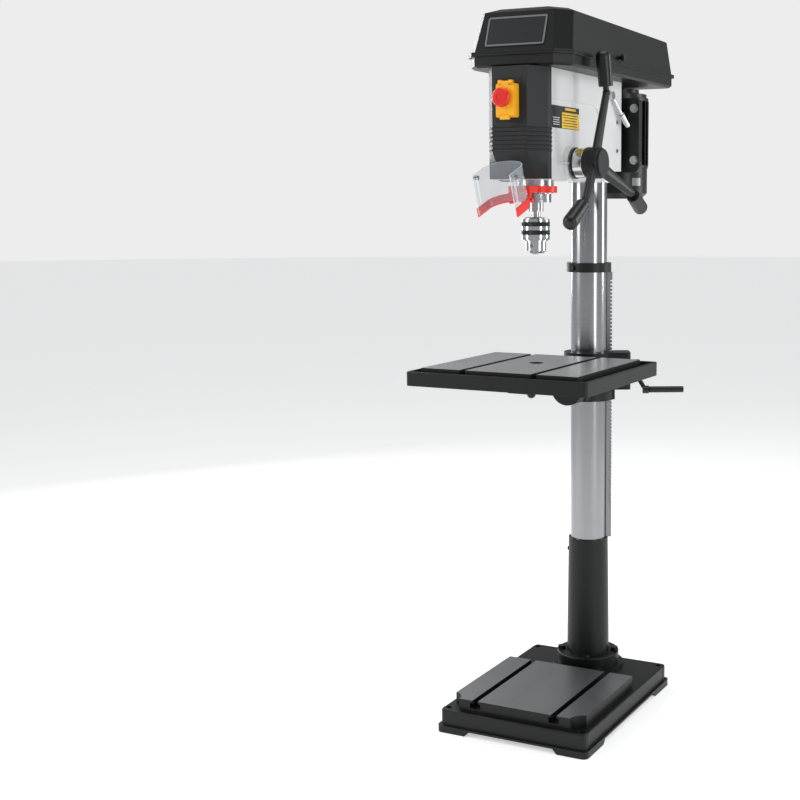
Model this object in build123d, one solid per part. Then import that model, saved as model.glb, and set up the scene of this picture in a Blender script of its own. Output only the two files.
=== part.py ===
from build123d import *
import os
from math import sin, cos, tan, radians, pi

# Floor-standing drill press. Millimetres, +Z up, origin on the column axis at the floor.
# The operator stands on the -Y side, the feed levers are on the +X side.

FIT = 0.05            # radial running clearance of a shaft in its bore
GAP = 0.4             # clearance between pieces that move past each other

# base
BASE_W, BASE_FRONT, BASE_REAR = 400.0, 455.0, 85.0
BASE_TOP, LIP_H, LIP_OUT = 56.0, 17.0, 7.0
FOOT_ARCH, BASE_WALL = 12.0, 9.0
ANCHOR_X, ANCHOR_IN, ANCHOR_R = 178.0, 26.0, 7.0
ISLAND_W, ISLAND_FRONT, ISLAND_REAR, ISLAND_TOP = 350.0, 432.0, 114.0, 84.0
NOTCH_R = 30.0
T_NECK, T_HEAD, T_HEAD_H, T_DEPTH = 15.0, 26.0, 9.0, 20.0
BASE_SLOT_X = 105.0

# column and its foot
COL_R, COL_WALL, COL_BOTTOM, COL_TOP = 46.0, 5.0, 96.0, 1540.0
FLANGE_R, FLANGE_BOTTOM, FLANGE_TOP = 81.5, 75.0, 95.0
FOOT_R_LOW, FOOT_R_HIGH, FOOT_TOP = 55.5, 51.5, 404.0
FOOT_BOLTS, FOOT_BOLT_R, FOOT_BOLT_PCR = 4, 6.0, 70.0

# rack and the ring that holds its top
RACK_ANGLE = 28.0
RACK_IN, RACK_DEPTH, RACK_W = COL_R + 0.3, 13.0, 24.0
RACK_LOW, RACK_HIGH, RACK_TEETH_LOW = FOOT_TOP + GAP, 1097.0, 500.0
RACK_MODULE = 3.0
RING_R, RING_LOW, RING_HIGH = 57.0, 1098.0, 1121.0

# table
TABLE_W, TABLE_FRONT, TABLE_REAR, TABLE_TOP = 456.0, 522.0, 97.0, 896.0
RIM_DROP, RIM_H, RIM_T, GUTTER_DROP, TABLE_SKIN = 8.0, 33.0, 7.0, 18.0, 9.0
PLATE_SIDE, PLATE_FRONT, PLATE_REAR = 30.0, 20.0, 42.0
THROAT = 305.0
TABLE_HOLE_R, TABLE_SLOT_X = 17.5, 90.0
TILT_Z, TILT_R, TILT_FACE, TILT_BOLT_R = 812.0, 42.0, -112.0, 8.0

# bracket that carries the table up and down the column
COLLAR_OUT, COLLAR_LOW, COLLAR_HIGH = 64.0, 770.0, 893.0
LIFT_TEETH, WHEEL_R, WORM_R, WORM_SHAFT_R = 12, 22.0, 9.0, 6.0
WHEEL_Y, CRANK_ARM, CRANK_TURN = -24.0, 70.0, -120.0
CRANK_HUB_X, CRANK_GRIP_X, CRANK_GRIP_LEN, CRANK_GRIP_R = 108.0, 150.0, 88.0, 8.0
CLAMP_X, CLAMP_Z, CLAMP_EAR_Y, CLAMP_SPLIT = -80.0, 835.0, 16.0, 4.0

# head
HEAD_W, HEAD_FRONT, HEAD_REAR = 140.0, 391.0, 45.0
HEAD_LOW, HEAD_STEP, HEAD_TOP = 1323.0, 1350.0, 1570.0
HEAD_WALL, CLAMP_R = 9.0, 58.0
HEAD_SCREW_R, HEAD_SCREW_Y, HEAD_SCREW_Z = 5.0, 12.0, (1400.0, 1470.0)

# feed
PINION_Y, PINION_Z, PINION_R, SHAFT_R, PINION_HALF = -261.0, 1362.0, 16.0, 12.0, 12.0
RECESS, BOSS_R, BOSS_OUT = 3.0, 40.0, 8.0
SCALE_R, SCALE_T, COLLAR_R, COLLAR_T = 36.0, 8.0, 34.0, 24.0
HUB_X, HUB_R, HUB_T, CAP_R, CAP_T = 112.0, 36.0, 36.0, 32.0, 6.0
SHAFT_LEFT = -128.0
LEVERS, LEVER_START = 3, 94.5
LEVER_BEND, LEVER_LEAN, GRIP_FROM, GRIP_TO, GRIP_R = 156.0, 34.0, 170.0, 249.0, 18.0
GRIP_SLOPE, STUB_R, GRIP_CAP = 0.065, 7.0, 13.5
SPRING_R, SPRING_T = 42.0, 34.0
LOCK_Z, LOCK_R = 1430.0, 5.0

# quill, spindle and chuck, all on the axis at -THROAT
QUILL_R, QUILL_LOW, QUILL_HIGH, QUILL_BORE = 30.0, 1272.0, 1490.0, 23.0
TRAVEL, FEED_MODULE = 120.0, 2.0
NOSE_PLATE_R, NOSE_PLATE_LOW = 42.0, 1293.0
QUILL_COLLAR_R, QUILL_COLLAR_TOP = 36.5, 1291.0
SPINDLE_R, NOSE_R, NOSE_LOW, NECK_R, NECK_LOW = 12.0, 18.0, 1251.0, 11.0, 1200.0
SPINE_R, SPINDLE_TOP = 9.5, 1648.0
SLEEVE_R, SLEEVE_BEARING_R, SLEEVE_LOW, SLEEVE_HIGH = 15.0, 26.0, 1508.0, 1652.0
CHUCK_TOP, CHUCK_STEP, CHUCK_LOW = 1238.0, 1187.0, 1155.0
CHUCK_R, CHUCK_BODY_R, CHUCK_NOSE_R = 32.7, 28.0, 24.0
TAPER_LOW, TAPER_HIGH = 9.0, 10.0
JAW_R, JAW_LEN, JAW_TILT, JAW_OPEN, JAW_FOOT = 4.5, 32.0, 15.0, 28.0, 4.6

# belt cover
COVER_W, COVER_FRONT, COVER_REAR = 256.0, 415.0, 252.0
TRAY_LOW, RIM_Z, COVER_WALL, COVER_BEVEL, RIM_OUT, RIM_THICK = 1570.0, 1600.0, 3.0, 30.0, 5.0, 5.0
LID_FRONT_Z, LID_REAR_Z, LID_CROWN, LID_LEAN, LID_FRONT_LEAN = 1693.0, 1686.0, 10.0, 12.0, 30.0
HINGE_X, HINGE_R, HINGE_PIN_R, HINGE_Y = -138.0, 5.5, 2.5, (-230.0, 80.0)
BADGE_W, BADGE_H, KNOB_Y = 150.0, 72.0, -112.0

# belt drive
STEP_H, STEP_RADII = 17.0, (58.0, 50.0, 42.0, 34.0)
PULLEY_LOW = 1577.0
IDLER_Y, MOTOR_Y = -95.0, 182.0
BELT_W, BELT_T = 9.6, 7.0
IDLER_POST_R, MOTOR_SHAFT_R, SHAFT_HOLE = 12.0, 9.5, 20.0

# motor
MOTOR_R, MOTOR_LOW, MOTOR_HIGH, FAN_LOW = 82.0, 1362.0, 1542.0, 1283.0
PLATE_Y, PLATE_T, PLATE_W, PLATE_LOW, PLATE_HIGH = 72.0, 10.0, 210.0, 1348.0, 1534.0
MOTOR_BOLT_R, MOTOR_BOLT_X, MOTOR_BOLT_LOW, MOTOR_BOLT_HIGH = 5.0, 92.0, 1379.0, 1508.0
BAR_X, BAR_R, BAR_Z, BAR_FRONT = 58.0, 7.5, 1513.0, -30.0
MOTOR_TRAVEL = 12.0
TENSION_Y, TENSION_Z, TENSION_R, TENSION_LEN, TENSION_ANGLE = -35.0, 1532.0, 6.0, 104.0, -41.0
CAM_R = TENSION_Z - BAR_Z - BAR_R - 0.3

# front shroud and switch
SHROUD_FRONT, SHROUD_LOW_FRONT, SHROUD_HALF, SHROUD_KNEE, SHROUD_WALL = 435.0, 394.0, 39.0, 1382.0, 4.0
SHROUD_RIBS, RIB_LOW, RIB_PITCH, RIB_OUT = 6, 1384.0, 9.5, 2.0
SWITCH_Z, SWITCH_HALF, SWITCH_H, SWITCH_T, FLAP_T = 1496.0, 24.0, 78.0, 17.0, 5.0
BUTTON_R, BUTTON_TRAVEL, BUTTON_X, BUTTON_Z = 9.0, 4.0, 0.0, (1477.0, 1511.0)
MUSHROOM_R, MUSHROOM_X = 21.0, -4.0

# chuck guard
GUARD_R, GUARD_LOW, GUARD_HIGH, GUARD_T = 50.0, 1294.0, 1309.0, 3.0
GUARD_HINGE_Y, GUARD_HINGE_Z, GUARD_TILT = -THROAT - 80.0, 1277.0, 20.0
SHIELD_R, SHIELD_LEG, SHIELD_BACK, BAND_H, SHIELD_H, SHEET_T = 47.0, 52.0, 14.0, 20.0, 92.0, 2.0
GUARD_LUG_X, SLOT_IN = 24.0, 16.0


def cyl(r, z0, z1, x=0.0, y=0.0):
    return Pos(x, y, (z0 + z1) / 2) * Cylinder(r, z1 - z0)


def rod_between(a, b, r):
    line = b - a
    return Plane(origin=a, z_dir=line.normalized()) * extrude(Circle(r), line.length)


def ring(r_out, r_in, z0, z1, x=0.0, y=0.0):
    return cyl(r_out, z0, z1, x, y) - cyl(r_in, z0 - 1, z1 + 1, x, y)


def cyl_x(r, x0, x1, y=0.0, z=0.0):
    return Pos((x0 + x1) / 2, y, z) * Rot(0, 90, 0) * Cylinder(r, x1 - x0)


def cyl_y(r, y0, y1, x=0.0, z=0.0):
    return Pos(x, (y0 + y1) / 2, z) * Rot(90, 0, 0) * Cylinder(r, y1 - y0)


def block(x0, x1, y0, y1, z0, z1):
    return Pos((x0 + x1) / 2, (y0 + y1) / 2, (z0 + z1) / 2) * Box(x1 - x0, y1 - y0, z1 - z0)


def prism(points, z0, z1):
    return Pos(0, 0, z0) * extrude(make_face(Polyline(*points, close=True)), z1 - z0)


def prism_x(points, x0, x1):
    # points are (y, z)
    face = make_face(Polyline(*[(0, y, z) for y, z in points], close=True))
    return Pos(x0, 0, 0) * extrude(face, x1 - x0, dir=(1, 0, 0))


def hexagon(af, z0, z1):
    return Pos(0, 0, z0) * extrude(RegularPolygon(af / 2, 6, major_radius=False), z1 - z0)


def hex_bolt(shank_r, length, af, head):
    # on the Z axis, head from z=0 up, shank below
    return hexagon(af, 0, head) + cyl(shank_r, -length, 0)


def save(name, *solids):
    found = []
    for item in solids:
        found += [item] if isinstance(item, Solid) else list(item.solids())
    export_step(found[0] if len(found) == 1 else Compound(children=found), f"parts/{name}.step")


def t_slot(x, y0, y1, top):
    return (block(x - T_NECK / 2, x + T_NECK / 2, y0, y1, top - T_DEPTH, top + 1)
            + block(x - T_HEAD / 2, x + T_HEAD / 2, y0, y1, top - T_DEPTH, top - T_DEPTH + T_HEAD_H))


def base_casting():
    half = BASE_W / 2
    inset = LIP_OUT
    lip = block(-half, half, -BASE_FRONT, BASE_REAR, 0, LIP_H)
    lip = fillet(lip.edges().filter_by(Axis.Z), 14)
    hood = block(-half + inset, half - inset, -BASE_FRONT + inset, BASE_REAR - inset, LIP_H, BASE_TOP)
    hood = fillet(hood.edges().filter_by(Axis.Z), 12)
    hood = fillet(hood.faces().sort_by(Axis.Z)[-1].edges(), 4)
    body = lip + hood
    inner = BASE_WALL + inset
    hollow = block(-half + inner, half - inner, -BASE_FRONT + inner, BASE_REAR - inner, -1,
                   BASE_TOP - BASE_WALL)
    mid_y = (BASE_REAR - BASE_FRONT) / 2
    foot_x, foot_y = 100.0, 125.0
    arch_w, arch_l = BASE_W - 2 * foot_x + 24, BASE_FRONT + BASE_REAR - 2 * foot_y + 30
    slope = FOOT_ARCH
    front_arch = [(-arch_w / 2 - slope, -1), (-arch_w / 2, FOOT_ARCH), (arch_w / 2, FOOT_ARCH),
                  (arch_w / 2 + slope, -1)]
    face = make_face(Polyline(*[(x, 0, z) for x, z in front_arch], close=True))
    through_y = Pos(0, BASE_REAR + 50, 0) * extrude(face, BASE_FRONT + BASE_REAR + 100, dir=(0, -1, 0))
    side_arch = [(mid_y - arch_l / 2 - slope, -1), (mid_y - arch_l / 2, FOOT_ARCH),
                 (mid_y + arch_l / 2, FOOT_ARCH), (mid_y + arch_l / 2 + slope, -1)]
    through_x = prism_x(side_arch, -half - 50, half + 50)
    # machined island, notched round the two front anchor holes
    isl = ISLAND_W / 2
    island = block(-isl, isl, -ISLAND_FRONT, -ISLAND_REAR, BASE_TOP - 2, ISLAND_TOP)
    for side in (-1, 1):
        island -= cyl(NOTCH_R, BASE_TOP - 11, ISLAND_TOP + 1, side * ANCHOR_X, -BASE_FRONT + ANCHOR_IN)
    body = body - hollow - through_y - through_x + island
    # ribs under the island keep the slots closed from below
    for x in (-BASE_SLOT_X, BASE_SLOT_X):
        body += block(x - T_HEAD / 2 - 8, x + T_HEAD / 2 + 8, -BASE_FRONT + inner - 2, -ISLAND_REAR + 4,
                      ISLAND_TOP - T_DEPTH - 26, BASE_TOP)
    # column pad, boss ring and the underside post that reaches the floor
    body += cyl(FLANGE_R + 12, BASE_TOP - 2, BASE_TOP + 8)
    body += cyl(FLANGE_R - 2, BASE_TOP, FLANGE_BOTTOM)
    body += ring(FLANGE_R + 4, COL_R + 4, 0, BASE_TOP)
    for x, y in anchor_points():
        body += cyl(ANCHOR_R + 9, FOOT_ARCH, BASE_TOP - 2, x, y)
        body -= cyl(ANCHOR_R, -1, BASE_TOP + 1, x, y)
    for x in (-BASE_SLOT_X, BASE_SLOT_X):
        body -= t_slot(x, -ISLAND_FRONT - 1, -ISLAND_REAR + 1, ISLAND_TOP)
        body -= cyl(T_HEAD / 2 + 1, ISLAND_TOP - T_DEPTH, ISLAND_TOP - T_DEPTH + 14, x, -ISLAND_FRONT)
    for x, y in foot_bolt_points():
        body -= cyl(FOOT_BOLT_R + FIT, FLANGE_BOTTOM - 34, FLANGE_BOTTOM + 1, x, y)
    return body


def anchor_points():
    return [(s * ANCHOR_X, y) for s in (-1, 1) for y in (-BASE_FRONT + ANCHOR_IN, BASE_REAR - ANCHOR_IN)]


def foot_bolt_points():
    step = 360 / FOOT_BOLTS
    return [(FOOT_BOLT_PCR * cos(radians(20 + i * step)), FOOT_BOLT_PCR * sin(radians(20 + i * step)))
            for i in range(FOOT_BOLTS)]


def column_foot():
    flange = cyl(FLANGE_R, FLANGE_BOTTOM, FLANGE_TOP)
    flange = fillet(flange.edges().sort_by(Axis.Z)[-1], 3)
    cone = Pos(0, 0, (FLANGE_TOP - 1 + FOOT_TOP) / 2) * Cone(FOOT_R_LOW, FOOT_R_HIGH,
                                                             FOOT_TOP - FLANGE_TOP + 1)
    body = flange + cone - cyl(COL_R, COL_BOTTOM, FOOT_TOP + 1) - cyl(COL_R - COL_WALL, 0, COL_BOTTOM + 1)
    for x, y in foot_bolt_points():
        body -= cyl(FOOT_BOLT_R + FIT, FLANGE_BOTTOM - 1, FLANGE_TOP + 1, x, y)
    for z in (FOOT_TOP - 34, FLANGE_TOP + 60):
        body -= Rot(0, 0, 200) * cyl_x(5.0, COL_R - 1, FOOT_R_LOW + 6, 0, z)
    return body


def foot_set_screws():
    return [Rot(0, 0, 200) * cyl_x(5.0, COL_R, FOOT_R_HIGH + 3, 0, z) for z in (FOOT_TOP - 34,
                                                                                FLANGE_TOP + 60)]


def foot_bolts():
    bolt = hex_bolt(FOOT_BOLT_R, 44, 18, 8) + cyl(11.5, 0, 2)
    return [Pos(x, y, FLANGE_TOP) * bolt for x, y in foot_bolt_points()]


def column_tube():
    return ring(COL_R, COL_R - COL_WALL, COL_BOTTOM, COL_TOP)


def column_rack():
    outer = RACK_IN + RACK_DEPTH
    body = block(RACK_IN - 1, outer, -RACK_W / 2, RACK_W / 2, RACK_LOW, RACK_HIGH)
    body -= cyl(RACK_IN, RACK_LOW - 1, RACK_HIGH + 1)
    pitch = pi * RACK_MODULE
    depth = 2.0 * RACK_MODULE
    count = int((RACK_HIGH - 12 - RACK_TEETH_LOW) / pitch)
    tooth_gap = [(outer - depth, -pitch * 0.12), (outer + 1, -pitch * 0.33), (outer + 1, pitch * 0.33),
                 (outer - depth, pitch * 0.12)]
    face = make_face(Polyline(*[(x, 0, z) for x, z in tooth_gap], close=True))
    cutter = Pos(0, RACK_W / 2 + 1, 0) * extrude(face, RACK_W + 2, dir=(0, -1, 0))
    cuts = [Pos(0, 0, RACK_TEETH_LOW + i * pitch) * cutter for i in range(count)]
    return Rot(0, 0, RACK_ANGLE) * (body - cuts)


def rack_ring():
    body = ring(RING_R, COL_R, RING_LOW, RING_HIGH)
    body = chamfer(body.edges().filter_by(GeomType.CIRCLE).sort_by(Axis.Z)[-1], 2)
    hole = Rot(0, 0, 250) * cyl_x(4.0, COL_R - 1, RING_R + 2, 0, (RING_LOW + RING_HIGH) / 2)
    return body - hole


def rack_ring_screw():
    z = (RING_LOW + RING_HIGH) / 2
    return Rot(0, 0, 250) * (cyl_x(4.0, COL_R, RING_R + 2, 0, z) + cyl_x(6.5, RING_R + 0.6, RING_R + 6, 0,
                                                                         z))


def on_rack_side(shape):
    # the lift gear lies on a line through the column turned by the rack's angle
    return Rot(0, 0, RACK_ANGLE) * shape


RACK_PITCH = pi * RACK_MODULE
RACK_LINE = RACK_IN + RACK_DEPTH - RACK_MODULE            # pitch line of the rack
LIFT_R = RACK_MODULE * LIFT_TEETH / 2
LIFT_X = RACK_LINE + LIFT_R
LIFT_Z = RACK_TEETH_LOW + RACK_PITCH * round((TILT_Z + 18 - RACK_TEETH_LOW) / RACK_PITCH)
WORM_Z = LIFT_Z + WHEEL_R + WORM_R + 0.5


def gear_along_y(teeth, module, y0, y1, bore=0.0):
    # spur gear on the Y axis with a tooth pointing to -X
    pitch_r = module * teeth / 2
    root, tip = pitch_r - 1.15 * module, pitch_r + 0.8 * module
    disc = cyl_y(root, y0, y1)
    wide, thin = module * 0.68, module * 0.30
    tooth = [(-root + 0.5, -wide), (-tip, -thin), (-tip, thin), (-root + 0.5, wide)]
    face = make_face(Polyline(*[(x, 0, z) for x, z in tooth], close=True))
    one = Pos(0, y1, 0) * extrude(face, y1 - y0, dir=(0, -1, 0))
    gear = disc + [Rot(0, i * 360 / teeth, 0) * one for i in range(teeth)]
    return gear - cyl_y(bore, y0 - 1, y1 + 1) if bore else gear


def table_casting():
    half = TABLE_W / 2
    rim_top = TABLE_TOP - RIM_DROP
    rim_low = rim_top - RIM_H
    gutter = TABLE_TOP - GUTTER_DROP
    skin_low = gutter - TABLE_SKIN
    rim = block(-half, half, -TABLE_FRONT, -TABLE_REAR, rim_low, rim_top)
    rim = fillet(rim.edges().filter_by(Axis.Z), 9)
    rim = fillet(rim.faces().sort_by(Axis.Z)[-1].edges(), 1.5)
    rim -= block(-half + RIM_T, half - RIM_T, -TABLE_FRONT + RIM_T, -TABLE_REAR - RIM_T, gutter,
                 rim_top + 1)
    rim -= block(-half + RIM_T, half - RIM_T, -TABLE_FRONT + RIM_T, -TABLE_REAR - RIM_T, rim_low - 1,
                 skin_low)
    plate = block(-half + PLATE_SIDE, half - PLATE_SIDE, -TABLE_FRONT + PLATE_FRONT,
                  -TABLE_REAR - PLATE_REAR, skin_low, TABLE_TOP)
    plate = chamfer(plate.faces().sort_by(Axis.Z)[-1].edges(), 0.8)
    body = rim + plate
    y0, y1 = -TABLE_FRONT + RIM_T - 1, -TABLE_REAR - RIM_T + 1
    for x in (-TABLE_SLOT_X, TABLE_SLOT_X):
        body += block(x - T_HEAD / 2 - 6, x + T_HEAD / 2 + 6, y0, y1, TABLE_TOP - T_DEPTH - 9, skin_low + 1)
    for y in (-THROAT - 95, -THROAT + 70):
        body += block(-half + RIM_T - 1, half - RIM_T + 1, y - 5, y + 5, rim_low + 4, skin_low + 1)
    # arm under the table that ends in the round tilt face
    boss_front = TILT_FACE - 24
    arm = block(-26, 26, -THROAT - 95, boss_front + 2, TILT_Z + 22, skin_low + 1)
    body += arm + cyl_y(TILT_R, boss_front, TILT_FACE, 0, TILT_Z)
    body += block(-34, 34, boss_front, TILT_FACE, TILT_Z, skin_low + 1)
    body += cyl(TABLE_HOLE_R + 12, TABLE_TOP - 34, TABLE_TOP - 2, 0, -THROAT)
    for x in (-TABLE_SLOT_X, TABLE_SLOT_X):
        body -= t_slot(x, -TABLE_FRONT + RIM_T, -TABLE_REAR - RIM_T, TABLE_TOP)
    body -= cyl(TABLE_HOLE_R, TABLE_TOP - 60, TABLE_TOP + 1, 0, -THROAT)
    body -= cyl_y(TILT_BOLT_R + FIT, boss_front - 1, TILT_FACE + 1, 0, TILT_Z)
    body -= block(-13, 13, -THROAT - 50, -THROAT + 50, TILT_Z, TABLE_TOP - 34.5)
    return body


def tilt_bolt():
    head = TILT_FACE - 24 - GAP
    bolt = cyl_y(TILT_BOLT_R, head, -COLLAR_OUT - 8, 0, TILT_Z)
    bolt += Pos(0, head, TILT_Z) * Rot(90, 0, 0) * hexagon(27, 0, 11)
    return bolt + cyl_y(16, head - 2.5, head, 0, TILT_Z)


def table_bracket():
    collar = ring(COLLAR_OUT, COL_R + FIT, COLLAR_LOW, COLLAR_HIGH)
    # arm to the tilt face
    body = collar + block(-34, 34, TILT_FACE + 20, -COL_R - 8, TILT_Z - 34, TILT_Z + 30)
    body += cyl_y(TILT_R, TILT_FACE + GAP, TILT_FACE + 24, 0, TILT_Z)
    body -= cyl_y(TILT_BOLT_R, TILT_FACE - 1, -COLLAR_OUT - 8, 0, TILT_Z)
    # lift gear housing beside the rack
    low, high = LIFT_Z - WHEEL_R - 10, COLLAR_HIGH
    side_y = RACK_W / 2 + 12
    housing = block(COL_R - 2, LIFT_X + WHEEL_R + 9, WHEEL_Y - 16, side_y, low, high)
    housing = fillet(housing.edges().filter_by(Axis.Z).sort_by(Axis.X)[-2:], 8)
    cavity = block(RACK_IN - 0.5, LIFT_X + WHEEL_R + 2, WHEEL_Y - 9, RACK_W / 2 + 2, low + 6, high - 7)
    passage = block(RACK_IN - 2, RACK_IN + RACK_DEPTH + 1.2, -RACK_W / 2 - 1, RACK_W / 2 + 1,
                    COLLAR_LOW - 1, COLLAR_HIGH + 1)
    cheek = block(COL_R + 4, RACK_IN + RACK_DEPTH + 7, -RACK_W / 2 - 8, RACK_W / 2 + 8, COLLAR_LOW, high)
    body += on_rack_side(housing) + on_rack_side(cheek)
    body -= on_rack_side(cavity) + on_rack_side(passage)
    body -= on_rack_side(cyl_y(WORM_SHAFT_R + FIT, WHEEL_Y - 17, side_y + 1, LIFT_X, LIFT_Z))
    body -= on_rack_side(cyl_x(WORM_SHAFT_R + FIT, LIFT_X - 40, LIFT_X + 60, WHEEL_Y, WORM_Z))
    body -= cyl(COL_R + FIT, COLLAR_LOW - 1, COLLAR_HIGH + 1)
    # split ears closed by the clamp
    body += block(CLAMP_X - 16, -COL_R - 8, -CLAMP_EAR_Y, CLAMP_EAR_Y, CLAMP_Z - 18, CLAMP_Z + 18)
    body -= block(CLAMP_X - 20, -COL_R + 2, -CLAMP_SPLIT / 2, CLAMP_SPLIT / 2, COLLAR_LOW - 1,
                  COLLAR_HIGH + 1)
    return body - cyl_y(6 + FIT, -CLAMP_EAR_Y - 1, CLAMP_EAR_Y + 1, CLAMP_X, CLAMP_Z)


def table_clamp():
    # clamp bolt through the ears with its cranked lever, and the ball on the end
    y0, y1 = -CLAMP_EAR_Y - GAP, CLAMP_EAR_Y + GAP
    bolt = cyl_y(6, y0 - 14, y1 + 10, CLAMP_X, CLAMP_Z) + cyl_y(12, y0 - 14, y0, CLAMP_X, CLAMP_Z)
    nut = Pos(CLAMP_X, y1 + 9, CLAMP_Z) * Rot(90, 0, 0) * hexagon(19, 0, 9)
    arm_y = y0 - 8
    arm = Pos(CLAMP_X - 35, arm_y, CLAMP_Z - 28) * Rot(0, -128.7, 0) * Cylinder(5, 88)
    return bolt + nut + arm


def table_clamp_ball():
    reach = 50.0
    x = CLAMP_X - 35 - reach * sin(radians(51.3))
    return Pos(x, -CLAMP_EAR_Y - GAP - 8, CLAMP_Z - 28 - reach * cos(radians(51.3))) * Sphere(12) - Pos(
        CLAMP_X - 35, -CLAMP_EAR_Y - GAP - 8, CLAMP_Z - 28) * Rot(0, -128.7, 0) * Cylinder(5, 88)


def lift_pinion():
    side_y = RACK_W / 2 + 12
    gear = gear_along_y(LIFT_TEETH, RACK_MODULE, -RACK_W / 2 + 1, RACK_W / 2 - 1)
    shaft = cyl_y(WORM_SHAFT_R, WHEEL_Y - 15, side_y - 1)
    return on_rack_side(Pos(LIFT_X, 0, LIFT_Z) * (gear + shaft))


WHEEL_TEETH = 12
WHEEL_MODULE = 2 * (WHEEL_R - 1.3) / (WHEEL_TEETH + 1.6)


def worm_wheel():
    wheel = gear_along_y(WHEEL_TEETH, WHEEL_MODULE, WHEEL_Y - 6, WHEEL_Y + 6, WORM_SHAFT_R)
    return on_rack_side(Pos(LIFT_X, 0, LIFT_Z) * wheel)


def lift_worm():
    x0, x1 = LIFT_X - 27, CRANK_HUB_X + 8
    shaft = cyl_x(WORM_SHAFT_R, x0, x1, WHEEL_Y, WORM_Z)
    body = cyl_x(WORM_R, LIFT_X - 20, LIFT_X + 20, WHEEL_Y, WORM_Z)
    pitch = pi * WHEEL_MODULE
    for i in range(4):
        x = LIFT_X - 17 + i * pitch
        body -= cyl_x(WORM_R + 1, x, x + pitch / 2, WHEEL_Y, WORM_Z) - cyl_x(
            WORM_R - 2, x - 1, x + pitch, WHEEL_Y, WORM_Z)
    return on_rack_side(shaft + body)


def crank_arm():
    y1 = WHEEL_Y + CRANK_ARM * cos(radians(CRANK_TURN))
    z1 = WORM_Z + CRANK_ARM * sin(radians(CRANK_TURN))
    end_x = CRANK_GRIP_X - 9
    hub = cyl_x(13, CRANK_HUB_X, CRANK_HUB_X + 20, WHEEL_Y, WORM_Z)
    start = Vector(CRANK_HUB_X + 14, WHEEL_Y, WORM_Z)
    knee = Vector(CRANK_HUB_X + 18, y1 * 0.6 + WHEEL_Y * 0.4, z1 * 0.6 + WORM_Z * 0.4)
    arm = hub + rod_between(start, knee, 5.5) + Pos(*knee) * Sphere(6.3)
    arm += rod_between(knee, Vector(end_x, y1, z1), 5.5)
    arm += cyl_x(10, end_x - 7, end_x + 8.5, y1, z1)
    arm += cyl_x(3.5, end_x, CRANK_GRIP_X + CRANK_GRIP_LEN - 4, y1, z1)
    return on_rack_side(arm - cyl_x(WORM_SHAFT_R, CRANK_HUB_X - 1, CRANK_HUB_X + 8, WHEEL_Y, WORM_Z))


def crank_grip():
    y1 = WHEEL_Y + CRANK_ARM * cos(radians(CRANK_TURN))
    z1 = WORM_Z + CRANK_ARM * sin(radians(CRANK_TURN))
    x0 = CRANK_GRIP_X + GAP
    grip = cyl_x(CRANK_GRIP_R, x0, x0 + CRANK_GRIP_LEN, y1, z1)
    grip = fillet(grip.edges().filter_by(GeomType.CIRCLE), 2)
    return on_rack_side(grip - cyl_x(3.5 + FIT, x0 - 1, x0 + CRANK_GRIP_LEN - 3, y1, z1))


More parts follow.
